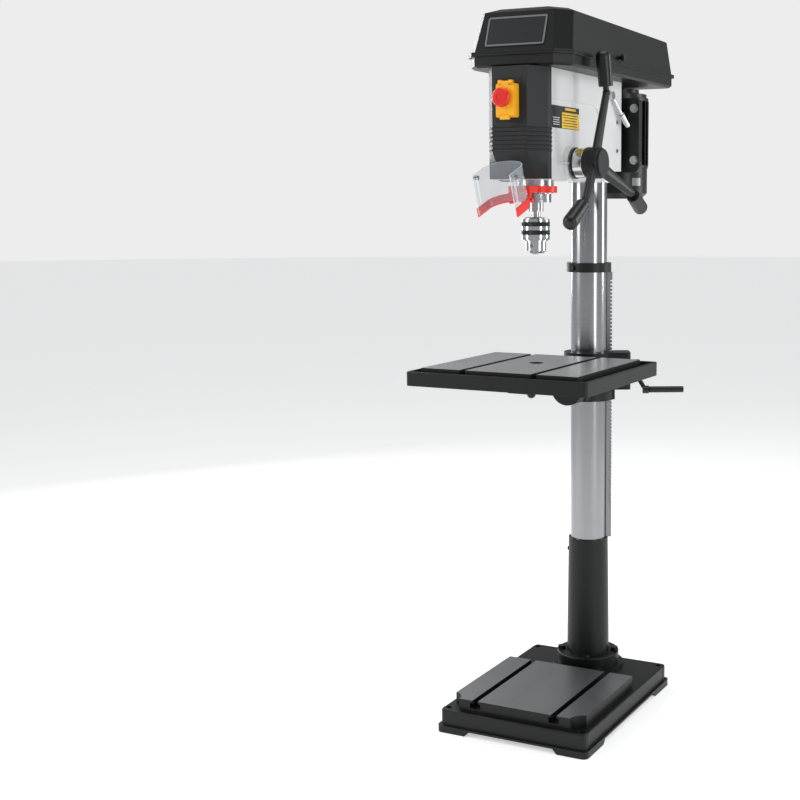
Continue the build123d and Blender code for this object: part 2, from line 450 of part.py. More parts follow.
def head_casting():
    half = HEAD_W / 2
    body = block(-half, half, -HEAD_FRONT, -75, HEAD_LOW, HEAD_TOP)
    body += block(-half, half, -76, HEAD_REAR, HEAD_STEP, HEAD_TOP)
    body = fillet(body.edges().filter_by(Axis.Z).sort_by(Axis.Y)[-2:], 6)
    # recessed lower panel on both flanks, round at its rear top corner
    panel_rear, panel_top, round_r = -81.0, 1502.0, 62.0
    panel = block(-half - 1, half + 1, -HEAD_FRONT - 1, panel_rear, HEAD_LOW - 1, panel_top)
    panel = fillet(panel.edges().filter_by(Axis.X).sort_by(Axis.Y)[-2:].sort_by(Axis.Z)[-1], round_r)
    body -= panel - block(-half + RECESS, half - RECESS, -HEAD_FRONT - 2, panel_rear + 1, HEAD_LOW - 2,
                          panel_top + 1)
    wall = HEAD_WALL
    hollow = block(-half + wall, half - wall, -HEAD_FRONT + wall, -76, HEAD_LOW + wall, HEAD_TOP + 1)
    hollow += block(-half + wall, half - wall, -77, HEAD_REAR - wall, HEAD_STEP + wall, HEAD_TOP + 1)
    body -= hollow
    # quill barrel, column clamp and cross boss for the pinion shaft
    barrel_top = HEAD_TOP - 8
    body += cyl(QUILL_R + 12, HEAD_LOW, barrel_top, 0, -THROAT)
    body += cyl(CLAMP_R, HEAD_LOW - 1, COL_TOP + 6)
    body += cyl_x(SHAFT_R + 8, -half + RECESS, half - RECESS, PINION_Y, PINION_Z)
    body += cyl_x(BOSS_R, half - RECESS - 1, half + BOSS_OUT, PINION_Y, PINION_Z)
    body += cyl_x(BOSS_R, -half - BOSS_OUT, -half + RECESS + 1, PINION_Y, PINION_Z)
    # pointer ledge in front of the scale
    body += block(half - RECESS - 1, half + BOSS_OUT + 4, PINION_Y - 66, PINION_Y - SCALE_R - 1,
                  PINION_Z - 4, PINION_Z)
    for side in (-1, 1):
        x0, x1 = sorted((side * (CLAMP_R - 20), side * (half - 1)))
        body += block(x0, x1, BAR_FRONT - 6, HEAD_REAR - 2, BAR_Z - BAR_R - 6, BAR_Z + BAR_R + 6)
    body += block(CLAMP_R - 8, half - 1, TENSION_Y - 13, TENSION_Y + 13, TENSION_Z - 14, TENSION_Z + 14)
    # bores
    body -= cyl(COL_R, HEAD_LOW - 2, COL_TOP)
    body -= cyl(QUILL_R + FIT, HEAD_LOW - 2, QUILL_HIGH + 6, 0, -THROAT)
    body -= cyl(SLEEVE_BEARING_R, QUILL_HIGH, barrel_top + 1, 0, -THROAT)
    body -= cyl_x(SHAFT_R + FIT, -half - 20, half + 20, PINION_Y, PINION_Z)
    body -= cyl_x(PINION_R + 4, -PINION_HALF - 1, PINION_HALF + 1, PINION_Y, PINION_Z)
    for side in (-1, 1):
        body -= cyl_y(BAR_R + FIT, BAR_FRONT - MOTOR_TRAVEL - 2, HEAD_REAR + 2, side * BAR_X, BAR_Z)
    body -= cyl_x(TENSION_R + FIT, CLAMP_R - 9, half + 1, TENSION_Y, TENSION_Z)
    for z in HEAD_SCREW_Z:
        body -= cyl_x(HEAD_SCREW_R, COL_R - 1, half + 2, HEAD_SCREW_Y, z)
    body -= cyl_x(CAM_R + 1.5, CLAMP_R - 9, CLAMP_R - 2, TENSION_Y, TENSION_Z)
    return body - cyl_x(LOCK_R + FIT, -half - 1, -QUILL_R - 2, -THROAT, LOCK_Z)


def head_set_screws():
    return [cyl_x(HEAD_SCREW_R, COL_R + 1.5, HEAD_W / 2 + 2, HEAD_SCREW_Y, z)
            - cyl_x(2.5, HEAD_W / 2 - 4, HEAD_W / 2 + 3, HEAD_SCREW_Y, z) for z in HEAD_SCREW_Z]


def nose_collar():
    body = ring(NOSE_PLATE_R, QUILL_R + FIT, NOSE_PLATE_LOW, HEAD_LOW, 0, -THROAT)
    return chamfer(body.edges().filter_by(GeomType.CIRCLE).group_by(Axis.Z)[0][-1:], 1)


def shroud_outline(grow, front):
    half = HEAD_W / 2
    return [(-half - grow, -HEAD_FRONT + 18), (-half - grow, -HEAD_FRONT - 1), (-SHROUD_HALF - grow,
                                                                                -front - grow),
            (SHROUD_HALF + grow, -front - grow), (half + grow, -HEAD_FRONT - 1), (half + grow,
                                                                                  -HEAD_FRONT + 18)]


def loft_outline(low, high, z0, z1):
    faces = [Pos(0, 0, z) * make_face(Polyline(*points, close=True)) for points, z in ((low, z0), (high,
                                                                                                   z1))]
    return loft(faces, ruled=True)


def front_shroud():
    low_front = SHROUD_LOW_FRONT
    z0, knee, top = HEAD_LOW + 1, SHROUD_KNEE, TRAY_LOW - GAP
    out = SHROUD_WALL
    body = prism(shroud_outline(out, SHROUD_FRONT - out), knee, top)
    body += loft_outline(shroud_outline(out, low_front - out), shroud_outline(out, SHROUD_FRONT - out),
                         z0, knee)
    for i in range(SHROUD_RIBS):
        z = RIB_LOW + i * RIB_PITCH
        body += loft_outline(shroud_outline(out, SHROUD_FRONT - out),
                             shroud_outline(out + RIB_OUT, SHROUD_FRONT - out), z, z + RIB_PITCH * 0.45)
        body += loft_outline(shroud_outline(out + RIB_OUT, SHROUD_FRONT - out),
                             shroud_outline(out,
                                            SHROUD_FRONT - out), z + RIB_PITCH * 0.45, z + RIB_PITCH * 0.62)
    inner = prism(shroud_outline(GAP / 2, SHROUD_FRONT - out), knee, top + 1)
    inner += loft_outline(shroud_outline(GAP / 2, HEAD_FRONT + GAP / 2),
                          shroud_outline(GAP / 2, SHROUD_FRONT - out), z0 - 1, knee)
    body -= inner
    # seat of the switch plate
    y = -SHROUD_FRONT
    return body - block(-31, 31, y - 1, y + 2, SWITCH_Z - 48, SWITCH_Z + 46) - block(
        -SWITCH_HALF + 4, SWITCH_HALF - 4, y - 1, y + 9, SWITCH_Z - 34, SWITCH_Z + 34)


def switch_plate():
    y = -SHROUD_FRONT
    plate = block(-30.5, 30.5, y, y + 2, SWITCH_Z - 47.5, SWITCH_Z + 45.5)
    plate = fillet(plate.edges().filter_by(Axis.Y), 5)
    plate -= block(-SWITCH_HALF + 4, SWITCH_HALF - 4, y - 1, y + 3, SWITCH_Z - 34, SWITCH_Z + 34)
    for z in (SWITCH_Z - 43.5, SWITCH_Z + 42):
        plate += Pos(0, y - 0.2, z) * Sphere(2.4) - block(-4, 4, y + 1, y + 4, z - 4, z + 4)
    return plate


def switch_body():
    y = -SHROUD_FRONT
    half, low, high = SWITCH_HALF, SWITCH_Z - SWITCH_H / 2, SWITCH_Z + SWITCH_H / 2 - 5
    body = block(-half, half, y - SWITCH_T, y, low, high)
    body = fillet(body.edges().filter_by(Axis.Y), 3)
    body += block(-half + 4.5, half - 4.5, y - 1, y + 30, SWITCH_Z - 33.5, SWITCH_Z + 33.5)
    for x in (-13, 13):
        body += block(x - 4, x + 4, y - SWITCH_T - FLAP_T, y - SWITCH_T + 6, high - 1, high + 7)
    body -= cyl_x(2 + FIT, -half, half, y - SWITCH_T - FLAP_T / 2 + 1, high + 3)
    for z in BUTTON_Z:
        body -= cyl_y(BUTTON_R + FIT * 4, y - SWITCH_T - 1, y - SWITCH_T + 12, BUTTON_X, z)
    return body


def button(z):
    y = -SHROUD_FRONT - SWITCH_T
    body = cyl_y(BUTTON_R, y, y + 12 - BUTTON_TRAVEL - 1, BUTTON_X, z)
    return chamfer(body.edges().filter_by(GeomType.CIRCLE).sort_by(Axis.Y)[0], 0.8)


def stop_flap():
    y = -SHROUD_FRONT - SWITCH_T
    half, low, high = SWITCH_HALF - 2, SWITCH_Z - SWITCH_H / 2 - 5, SWITCH_Z + SWITCH_H / 2 - 5
    flap = block(-half, half, y - FLAP_T, y - GAP, low + 8, high - 3.6)
    flap = fillet(flap.edges().filter_by(Axis.Y), 4)
    flap += block(-11, 11, y - FLAP_T - 3, y - GAP, low, low + 9)
    pin_y = y - FLAP_T / 2 + 1
    flap += block(-8.6, 8.6, y - FLAP_T, y - GAP, high - 5, high + 3) + cyl_x(2.5, -8.6, 8.6, pin_y,
                                                                              high + 3)
    flap += cyl_x(2, -18, 18, pin_y, high + 3)
    return flap


def stop_mushroom():
    y = -SHROUD_FRONT - SWITCH_T - FLAP_T
    stem = cyl_y(11, y - 6, y, MUSHROOM_X, SWITCH_Z + 3)
    cap = cyl_y(MUSHROOM_R, y - 17, y - 6, MUSHROOM_X, SWITCH_Z + 3)
    cap = fillet(cap.edges().filter_by(GeomType.CIRCLE).sort_by(Axis.Y)[0], 6)
    return stem + cap - cyl_y(8, y - 18, y - 16, MUSHROOM_X, SWITCH_Z + 3)


def cover_outline(grow, front_grow=0.0, rear_grow=0.0):
    half, bevel = COVER_W / 2 + grow, COVER_BEVEL
    front, rear = -COVER_FRONT - grow - front_grow, COVER_REAR + grow + rear_grow
    return [(-half, rear - 10), (-half, front + bevel * 1.3), (-half + bevel, front), (half - bevel, front),
            (half, front + bevel * 1.3), (half, rear - 10), (half - 10, rear), (-half + 10, rear)]


def knuckle(y0, y1):
    return cyl_y(HINGE_R, y0, y1, HINGE_X, RIM_Z)


def cover_tray():
    bevel = 5.0
    body = loft_outline(cover_outline(-bevel), cover_outline(0), TRAY_LOW, TRAY_LOW + bevel)
    body += prism(cover_outline(0), TRAY_LOW + bevel, RIM_Z)
    body += prism(cover_outline(RIM_OUT), RIM_Z - RIM_THICK, RIM_Z)
    body -= prism(cover_outline(-COVER_WALL - 2), TRAY_LOW + COVER_WALL + 3, RIM_Z + 1)
    for y in HINGE_Y:
        for y0, y1 in ((y - 26, y - 9), (y + 9, y + 26)):
            body += block(HINGE_X, -COVER_W / 2 + 1, y0, y1, RIM_Z - HINGE_R, RIM_Z - 0.8) + knuckle(y0, y1)
        body -= block(HINGE_X - HINGE_R - 1, -COVER_W / 2 - 0.5, y - 9, y + 9, RIM_Z - 8, RIM_Z + 8)
        body -= cyl_y(HINGE_PIN_R, y - 27, y + 27, HINGE_X, RIM_Z)
    # shafts come up through the floor of the tray
    body -= cyl(SLEEVE_R + 3, TRAY_LOW - 1, RIM_Z, 0, -THROAT)
    body -= cyl(IDLER_POST_R, TRAY_LOW - 1, RIM_Z, 0, IDLER_Y)
    slot = cyl(SHAFT_HOLE, TRAY_LOW - 1, RIM_Z, 0, MOTOR_Y) + cyl(SHAFT_HOLE, TRAY_LOW - 1, RIM_Z, 0,
                                                                  MOTOR_Y - MOTOR_TRAVEL)
    return body - slot - block(-SHAFT_HOLE, SHAFT_HOLE, MOTOR_Y - MOTOR_TRAVEL, MOTOR_Y, TRAY_LOW - 1,
                               RIM_Z)


def lid_loft(inset, drop):
    # outer body of the lid: beveled plan, sloped nose, top that falls towards the rear, crowned edges
    low = cover_outline(-inset)
    lean, nose = LID_LEAN, LID_FRONT_LEAN
    high = cover_outline(-lean - inset, lean - nose, lean - 8)
    crown = cover_outline(-lean - inset - 26, lean - nose, lean - 8)
    y_front, y_rear = -COVER_FRONT + nose, COVER_REAR - 8

    def top_z(y):
        return LID_FRONT_Z + (LID_REAR_Z - LID_FRONT_Z) * (y - y_front) / (y_rear - y_front) - drop

    base = make_face(Polyline(*[(x, y, RIM_Z + GAP - (1 if inset else 0)) for x, y in low], close=True))
    top = make_face(Polyline(*[(x, y, top_z(y)) for x, y in high], close=True))
    peak = make_face(Polyline(*[(x, y, top_z(y) + LID_CROWN) for x, y in crown], close=True))
    return loft([base, top], ruled=True) + loft([top, peak], ruled=True)


def lid_front_point(share):
    # point on the sloped nose, share of the way up
    y0, y1 = -COVER_FRONT, -COVER_FRONT + LID_FRONT_LEAN
    return y0 + (y1 - y0) * share, RIM_Z + (LID_FRONT_Z - RIM_Z) * share


def badge_blank(width, height, low, high):
    y, z = lid_front_point(0.52)
    tilt = Plane(origin=(0, y, z), x_dir=(1, 0, 0), z_dir=(0, -(LID_FRONT_Z - RIM_Z), LID_FRONT_LEAN))
    face = RectangleRounded(width, height, 6)
    return tilt * Pos(0, 0, low) * extrude(face, high - low)


def cover_lid():
    body = lid_loft(0, 0) + prism(cover_outline(RIM_OUT), RIM_Z + GAP, RIM_Z + GAP + 3.5)
    body -= lid_loft(COVER_WALL, COVER_WALL)
    body -= badge_blank(BADGE_W + 1, BADGE_H + 1, -0.8, 30)
    for y in HINGE_Y:
        body -= block(HINGE_X - 9, -COVER_W / 2 - 0.6, y - 27, y + 27, RIM_Z - 1, RIM_Z + HINGE_R + 3)
        body += block(HINGE_X, -COVER_W / 2 + 1, y - 8.6, y + 8.6, RIM_Z + 0.8, RIM_Z + HINGE_R)
        body += knuckle(y - 8.6, y + 8.6)
        body -= cyl_y(HINGE_PIN_R + FIT, y - 10, y + 10, HINGE_X, RIM_Z)
    return body


def badge_plate():
    return badge_blank(BADGE_W, BADGE_H, -0.8, 0.8)


def lid_hinge_pins():
    return [cyl_y(HINGE_PIN_R, y - 26, y + 26, HINGE_X, RIM_Z) for y in HINGE_Y]


def lid_knob():
    x = COVER_W / 2 - LID_LEAN * 13 / (LID_FRONT_Z - RIM_Z) + 0.3
    stem = cyl_x(4, x, x + 8, KNOB_Y, RIM_Z + 13)
    return stem + fillet(cyl_x(8, x + 5, x + 17, KNOB_Y, RIM_Z + 13).edges(), 3)


def groove(r, z):
    # v groove of one pulley step, centred at z
    pts = [(r - 9, 0, z - 5.3), (r + 1, 0, z - 6.4), (r + 1, 0, z + 6.4), (r - 9, 0, z + 5.3)]
    return revolve(make_face(Polyline(*pts, close=True)), Axis.Z)


def step_pulley(radii, bore, hub_top):
    body = Pos(0, 0, PULLEY_LOW) * Cylinder(radii[0], 0.1, align=(Align.CENTER, Align.CENTER, Align.MIN))
    for i, r in enumerate(radii):
        z = PULLEY_LOW + i * STEP_H
        body += cyl(r, z, z + STEP_H)
    for i, r in enumerate(radii):
        body -= groove(r, step_z(i))
    body += cyl(bore + 8, PULLEY_LOW, hub_top)
    return body - cyl(bore, PULLEY_LOW - 1, hub_top + 1)


def step_z(i):
    return PULLEY_LOW + (i + 0.5) * STEP_H


def spindle_pulley():
    return Pos(0, -THROAT, 0) * step_pulley(STEP_RADII, SLEEVE_R, PULLEY_LOW + 4 * STEP_H)


def idler_pulley():
    return Pos(0, IDLER_Y, 0) * step_pulley(STEP_RADII[::-1], IDLER_POST_R - 2 + FIT,
                                            PULLEY_LOW + 4 * STEP_H)


def motor_pulley():
    return Pos(0, MOTOR_Y, 0) * step_pulley(STEP_RADII, MOTOR_SHAFT_R, PULLEY_LOW + 4 * STEP_H)


def idler_post():
    # carrier foot bolted to the head, and the post that the middle pulley runs on
    post = cyl(IDLER_POST_R - 2, COL_TOP + 7, PULLEY_LOW + 4 * STEP_H + 6, 0, IDLER_Y)
    collar = cyl(IDLER_POST_R - GAP, COL_TOP + 7, PULLEY_LOW - GAP, 0, IDLER_Y)
    foot = block(-HEAD_W / 2 + HEAD_WALL, HEAD_W / 2 - HEAD_WALL, IDLER_Y - 18, IDLER_Y + 18, COL_TOP + 6,
                 COL_TOP + 18)
    cap = cyl(IDLER_POST_R, PULLEY_LOW + 4 * STEP_H + GAP, PULLEY_LOW + 4 * STEP_H + 6, 0, IDLER_Y)
    return post + collar + foot + cap


def belt(y_a, r_a, y_b, r_b, z):
    def hull(offset):
        circles = [Pos(0, y_a, 0) * Circle(r_a - offset), Pos(0, y_b, 0) * Circle(r_b - offset)]
        return make_hull([c.edge() for c in circles])
    inner, outer = 8.5, 8.5 - BELT_T
    low = z - BELT_W / 2
    return Pos(0, 0, low) * extrude(hull(outer), BELT_W) - Pos(0, 0, low - 1) * extrude(hull(inner),
                                                                                        BELT_W + 2)


def front_belt():
    return belt(-THROAT, STEP_RADII[0], IDLER_Y, STEP_RADII[3], step_z(0))


def rear_belt():
    return belt(IDLER_Y, STEP_RADII[0], MOTOR_Y, STEP_RADII[3], step_z(3))


def spline_ribs(count, r_in, r_out, width, z0, z1):
    rib = block(r_in, r_out, -width / 2, width / 2, z0, z1)
    return [Rot(0, 0, i * 360 / count) * rib for i in range(count)]


def drive_sleeve():
    body = cyl(SLEEVE_R, SLEEVE_LOW, SLEEVE_HIGH) + cyl(SLEEVE_R + 2, SLEEVE_LOW - 4, SLEEVE_LOW + 2)
    body += cyl(SLEEVE_R + 7, PULLEY_LOW + 4 * STEP_H, SLEEVE_HIGH)
    body -= cyl(SPINE_R + FIT, SLEEVE_LOW - 5, SLEEVE_HIGH + 1)
    body -= spline_ribs(6, SPINE_R - 1, SPINE_R + 2.3, 4.4, SLEEVE_LOW - 5, SLEEVE_HIGH + 1)
    return Pos(0, -THROAT, 0) * body


def sleeve_bearings():
    return [ring(SLEEVE_BEARING_R, SLEEVE_R + FIT, z, z + 14, 0, -THROAT) for z in (1512.0, 1544.0)]


def quill():
    body = cyl(QUILL_R, QUILL_LOW, QUILL_HIGH)
    body -= cyl(QUILL_BORE, QUILL_LOW - 1, QUILL_LOW + 16) + cyl(QUILL_BORE, QUILL_HIGH - 16,
                                                                 QUILL_HIGH + 1)
    body -= cyl(SPINDLE_R + 2, QUILL_LOW - 1, QUILL_HIGH + 1)
    # rack along the back
    line = PINION_Y + THROAT - PINION_R
    flat = line + FEED_MODULE * 0.8
    pitch = pi * FEED_MODULE
    low, high = PINION_Z - 30, PINION_Z + TRAVEL + 24
    body -= block(-QUILL_R, QUILL_R, flat, QUILL_R + 1, low, QUILL_HIGH + 1)
    gap = [(flat - 2 * FEED_MODULE, -pitch * 0.16), (flat + 1, -pitch * 0.36), (flat + 1, pitch * 0.36),
           (flat - 2 * FEED_MODULE, pitch * 0.16)]
    cutter = prism_x(gap, -PINION_HALF - 0.5, PINION_HALF + 0.5)
    first = -int((PINION_Z - low) / pitch) + 1
    last = int((high - PINION_Z) / pitch)
    body -= [Pos(0, 0, PINION_Z + i * pitch) * cutter for i in range(first, last)]
    return Pos(0, -THROAT, 0) * body


def quill_collar():
    body = ring(QUILL_COLLAR_R, QUILL_R, QUILL_LOW, QUILL_COLLAR_TOP, 0, -THROAT)
    body = chamfer(body.edges().filter_by(GeomType.CIRCLE).group_by(Axis.Z)[0][-1:], 1.2)
    return body - block(QUILL_R - 2, QUILL_COLLAR_R + 2, -THROAT - 1.5, -THROAT + 1.5, QUILL_LOW - 1,
                        QUILL_COLLAR_TOP + 1)


def spindle_bearings():
    return [ring(QUILL_BORE, SPINDLE_R + FIT, z, z + 15, 0, -THROAT) for z in (QUILL_LOW, QUILL_HIGH - 15)]


def spindle():
    body = cyl(SPINDLE_R, QUILL_LOW - 2, QUILL_HIGH + 2) + cyl(NOSE_R, NOSE_LOW, QUILL_LOW - GAP)
    body += cyl(NECK_R, CHUCK_TOP, NOSE_LOW) + Pos(0, 0, (NECK_LOW + CHUCK_TOP) / 2) * Cone(
        TAPER_LOW, TAPER_HIGH, CHUCK_TOP - NECK_LOW)
    body += cyl(SPINE_R, QUILL_HIGH, SPINDLE_TOP)
    for rib in spline_ribs(6, SPINE_R - 1, SPINE_R + 2, 3.8, QUILL_HIGH + 2, SPINDLE_TOP):
        body += rib
    return Pos(0, -THROAT, 0) * body


def jaw_axis(i):
    # frame of one jaw: its Z axis runs up the inclined bore
    return Pos(0, -THROAT, 0) * Rot(0, 0, 90 + 120 * i) * Pos(JAW_FOOT, 0, CHUCK_LOW) * Rot(0, JAW_TILT, 0)


def chuck_body():
    body = cyl(CHUCK_BODY_R, CHUCK_STEP - 4, CHUCK_TOP - 3) + cyl(CHUCK_NOSE_R, CHUCK_LOW + 5, CHUCK_STEP)
    body += Pos(0, 0, CHUCK_LOW + 2.5) * Cone(CHUCK_NOSE_R - 5, CHUCK_NOSE_R, 5)
    body += Pos(0, 0, CHUCK_TOP - 1.5) * Cone(CHUCK_BODY_R, NECK_R + 9, 3)
    body -= cyl(8.5, CHUCK_LOW - 1, CHUCK_LOW + 30)
    body = Pos(0, -THROAT, 0) * body
    body -= Pos(0, -THROAT, (NECK_LOW + CHUCK_TOP) / 2) * Cone(TAPER_LOW, TAPER_HIGH, CHUCK_TOP - NECK_LOW)
    body -= cyl(TAPER_LOW, NECK_LOW - 6, NECK_LOW + 1, 0, -THROAT)
    for i in range(3):
        body -= jaw_axis(i) * cyl(JAW_R + FIT, -12, JAW_LEN + JAW_OPEN + 6)
        body -= Pos(0, -THROAT, CHUCK_LOW + 17) * Rot(0, 0, 30 + 120 * i) * cyl_x(4, 12, CHUCK_NOSE_R + 2)
    return body


def chuck_sleeve():
    body = ring(CHUCK_R, CHUCK_BODY_R + FIT, CHUCK_STEP - 1, CHUCK_TOP - 4)
    body = chamfer(body.edges().filter_by(GeomType.CIRCLE).group_by(Axis.Z)[-1][-1:], 3)
    body += ring(CHUCK_R, CHUCK_NOSE_R + 0.8, CHUCK_STEP - 1, CHUCK_STEP + 1) - cyl(
        CHUCK_BODY_R + FIT, CHUCK_STEP - 4 - GAP, CHUCK_TOP)
    for z in (CHUCK_STEP + 12, CHUCK_STEP + 30):
        body -= ring(CHUCK_R + 1, CHUCK_R - 0.5, z - 0.8, z + 0.2) + ring(CHUCK_R + 1, CHUCK_R - 0.5,
                                                                          z + 10, z + 11)
    teeth = 30
    notch = Pos(CHUCK_R - 2.6, 0, CHUCK_STEP - 1) * Rot(0, 45, 0) * Box(4.4, 3.4, 9)
    body -= [Rot(0, 0, i * 360 / teeth) * notch for i in range(teeth)]
    return Pos(0, -THROAT, 0) * body


def chuck_jaw(i):
    rod = cyl(JAW_R, -4, JAW_LEN)
    jaw = jaw_axis(i) * rod
    keep = Pos(0, -THROAT, 0) * Rot(0, 0, 90 + 120 * i) * block(0.5, 60, -40, 40, CHUCK_LOW - 3, CHUCK_TOP)
    for side in (-1, 1):
        keep -= Pos(0, -THROAT, 0) * Rot(0, 0, 90 + 120 * i + side * 60) * block(
            -60, 60, 0 if side > 0 else -60, 60 if side > 0 else 0, CHUCK_LOW - 10, CHUCK_TOP + 10)
    return jaw & keep


def guard_ring():
    body = ring(GUARD_R, NOSE_PLATE_R, GUARD_LOW, GUARD_HIGH, 0, -THROAT)
    for x in (-GUARD_LUG_X, GUARD_LUG_X):
        y_in = -THROAT - GUARD_R + 6
        body += block(x - 3, x + 3, GUARD_HINGE_Y - 5, y_in, GUARD_LOW, GUARD_HIGH)
        body += block(x - 3, x + 3, GUARD_HINGE_Y - 5, GUARD_HINGE_Y + 5, GUARD_HINGE_Z, GUARD_LOW + 1)
        body += cyl_x(5, x - 3, x + 3, GUARD_HINGE_Y, GUARD_HINGE_Z)
        body -= cyl_x(2.5, x - 4, x + 4, GUARD_HINGE_Y, GUARD_HINGE_Z)
    return body


def guard_pin():
    reach = GUARD_LUG_X + 7
    pin = cyl_x(2.5, -reach, reach, GUARD_HINGE_Y, GUARD_HINGE_Z)
    return pin + cyl_x(4.5, reach - 1, reach + 2, GUARD_HINGE_Y, GUARD_HINGE_Z)


def on_guard(shape):
    # the open guard: drawn level with the hinge at the origin, then tipped forwards
    return Pos(0, GUARD_HINGE_Y, GUARD_HINGE_Z) * Rot(GUARD_TILT, 0, 0) * shape


def horseshoe(r, z0, z1):
    # u in plan, closed side towards the hinge, legs running forwards
    y = -SHIELD_BACK - SHIELD_R
    return cyl(r, z0, z1, 0, y) + block(-r, r, y - SHIELD_LEG, y, z0, z1)


def horseshoe_shell(r_out, r_in, z0, z1):
    y = -SHIELD_BACK - SHIELD_R
    shell = horseshoe(r_out, z0, z1) - horseshoe(r_in, z0 - 1, z1 + 1)
    return shell - block(-r_in, r_in, y - SHIELD_LEG - 60, y - 1, z0 - 1, z1 + 1)


def guard_band():
    body = horseshoe_shell(SHIELD_R + GUARD_T, SHIELD_R, 1, 1 + BAND_H)
    for x in (-GUARD_LUG_X + 9, GUARD_LUG_X - 9):
        body += block(x - 5, x + 5, -SHIELD_BACK - 2, 0, -3, 6) + cyl_x(5, x - 5, x + 5)
    body -= horseshoe(SHIELD_R, -6, BAND_H + 6)
    body -= cyl_x(2.5 + FIT, -60, 60)
    return on_guard(body)


def guard_shield():
    z0 = 5.0
    body = horseshoe_shell(SHIELD_R - 0.0, SHIELD_R - SHEET_T, z0, z0 + SHIELD_H)
    y = -SHIELD_BACK - SHIELD_R - SHIELD_LEG + SLOT_IN
    body -= block(-60, 60, y - 2.4, y + 2.4, BAND_H + 8, z0 + SHIELD_H - 6)
    return on_guard(body)


def guard_screws():
    y = -SHIELD_BACK - SHIELD_R - SHIELD_LEG + SLOT_IN
    out = []
    for side in (-1, 1):
        a, b = SHIELD_R - SHEET_T - 5, SHIELD_R + 8
        x0, x1 = sorted((side * a, side * b))
        z = SHIELD_H - 6
        screw = cyl_x(2.3, x0, x1, y, z)
        inner = sorted((side * (SHIELD_R - SHEET_T - 4), side * (SHIELD_R - SHEET_T)))
        outer = sorted((side * SHIELD_R, side * (SHIELD_R + 3)))
        wing = sorted((side * (SHIELD_R + 3), side * (SHIELD_R + 5)))
        screw += cyl_x(5, *inner, y, z) + cyl_x(5, *outer, y, z)
        screw += block(*wing, y - 8, y + 8, z - 3.5, z + 3.5)
        out.append(on_guard(screw))
    return out


def pinion_shaft():
    # the gear's first tooth points to -Y, into a gap of the quill's rack
    teeth = round(2 * PINION_R / FEED_MODULE)
    gear = Rot(0, 0, 90) * gear_along_y(teeth, FEED_MODULE, -PINION_HALF, PINION_HALF)
    shaft = cyl_x(SHAFT_R, SHAFT_LEFT + 12, HUB_X + HUB_T - 4) + cyl_x(SHAFT_R - 2.5, SHAFT_LEFT,
                                                                       SHAFT_LEFT + 13)
    return Pos(0, PINION_Y, PINION_Z) * (gear + shaft)


def scale_ring():
    x = HEAD_W / 2 + BOSS_OUT + GAP
    body = cyl_x(SCALE_R, x, x + SCALE_T, PINION_Y, PINION_Z)
    return body - cyl_x(SHAFT_R + FIT, x - 1, x + SCALE_T + 1, PINION_Y, PINION_Z)


def stop_collar():
    x = HEAD_W / 2 + BOSS_OUT + 2 * GAP + SCALE_T
    body = cyl_x(COLLAR_R, x, x + COLLAR_T, PINION_Y, PINION_Z)
    body = fillet(body.edges().filter_by(GeomType.CIRCLE), 1.5)
    body -= cyl_x(SHAFT_R, x - 1, x + COLLAR_T + 1, PINION_Y, PINION_Z)
    return body - Pos(x + COLLAR_T / 2, PINION_Y, PINION_Z) * Rot(250, 0, 0) * cyl(3, 20, COLLAR_R + 1)


def grip_lean(radius):
    return LEVER_LEAN - (radius - LEVER_BEND) * GRIP_SLOPE


def lever_spot(radius, lean, angle):
    a = radians(angle)
    return (HUB_X + HUB_T / 2 + lean, PINION_Y + radius * cos(a), PINION_Z + radius * sin(a))


def feed_hub():
    body = cyl_x(HUB_R, HUB_X, HUB_X + HUB_T, PINION_Y, PINION_Z)
    body = fillet(body.edges().filter_by(GeomType.CIRCLE), 3)
    body -= cyl_x(SHAFT_R, HUB_X - 1, HUB_X + HUB_T - 3, PINION_Y, PINION_Z)
    return body - cyl_x(CAP_R - 8, HUB_X + HUB_T - 4, HUB_X + HUB_T + 1, PINION_Y, PINION_Z)


def hub_cap():
    x = HUB_X + HUB_T
    cap = fillet(cyl_x(CAP_R, x, x + CAP_T, PINION_Y, PINION_Z).edges().sort_by(Axis.X)[-1], 3)
    return cap + cyl_x(CAP_R - 8.2, x - 4, x + 1, PINION_Y, PINION_Z)


def lever_arm(angle):
    # flat tapered arm that leans outwards, then a stub along the grip
    start, bend = Vector(lever_spot(20, 4, angle)), Vector(lever_spot(LEVER_BEND, LEVER_LEAN, angle))
    tip = Vector(lever_spot(GRIP_TO - GRIP_CAP, grip_lean(GRIP_TO - GRIP_CAP), angle))
    along = (bend - start).normalized()
    out = Vector(0, -sin(radians(angle)), cos(radians(angle)))
    wide = Plane(origin=start, x_dir=out, z_dir=along) * Ellipse(19, 9)
    slim = Plane(origin=bend, x_dir=out, z_dir=along) * Ellipse(10.5, 8)
    arm = loft([wide, slim])
    knee = Pos(*bend) * Sphere(9.2)
    arm += knee + rod_between(bend, tip, STUB_R)
    hub = cyl_x(HUB_R, HUB_X, HUB_X + HUB_T, PINION_Y, PINION_Z)
    hub = fillet(hub.edges().filter_by(GeomType.CIRCLE), 3)
    return arm - hub


def lever_grip(angle):
    base = Vector(lever_spot(GRIP_FROM, grip_lean(GRIP_FROM), angle))
    tip = Vector(lever_spot(GRIP_TO, grip_lean(GRIP_TO), angle))
    frame = Plane(origin=base, z_dir=(tip - base).normalized())
    length = (tip - base).length
    body = Pos(0, 0, length / 2) * Cone(GRIP_R - 1.5, GRIP_R, length)
    body = fillet(body.edges().filter_by(GeomType.CIRCLE).sort_by(Axis.Z)[-1], 13)
    body = fillet(body.edges().filter_by(GeomType.CIRCLE).sort_by(Axis.Z)[0], 2)
    return frame * (body - cyl(STUB_R, -1, length - GRIP_CAP))


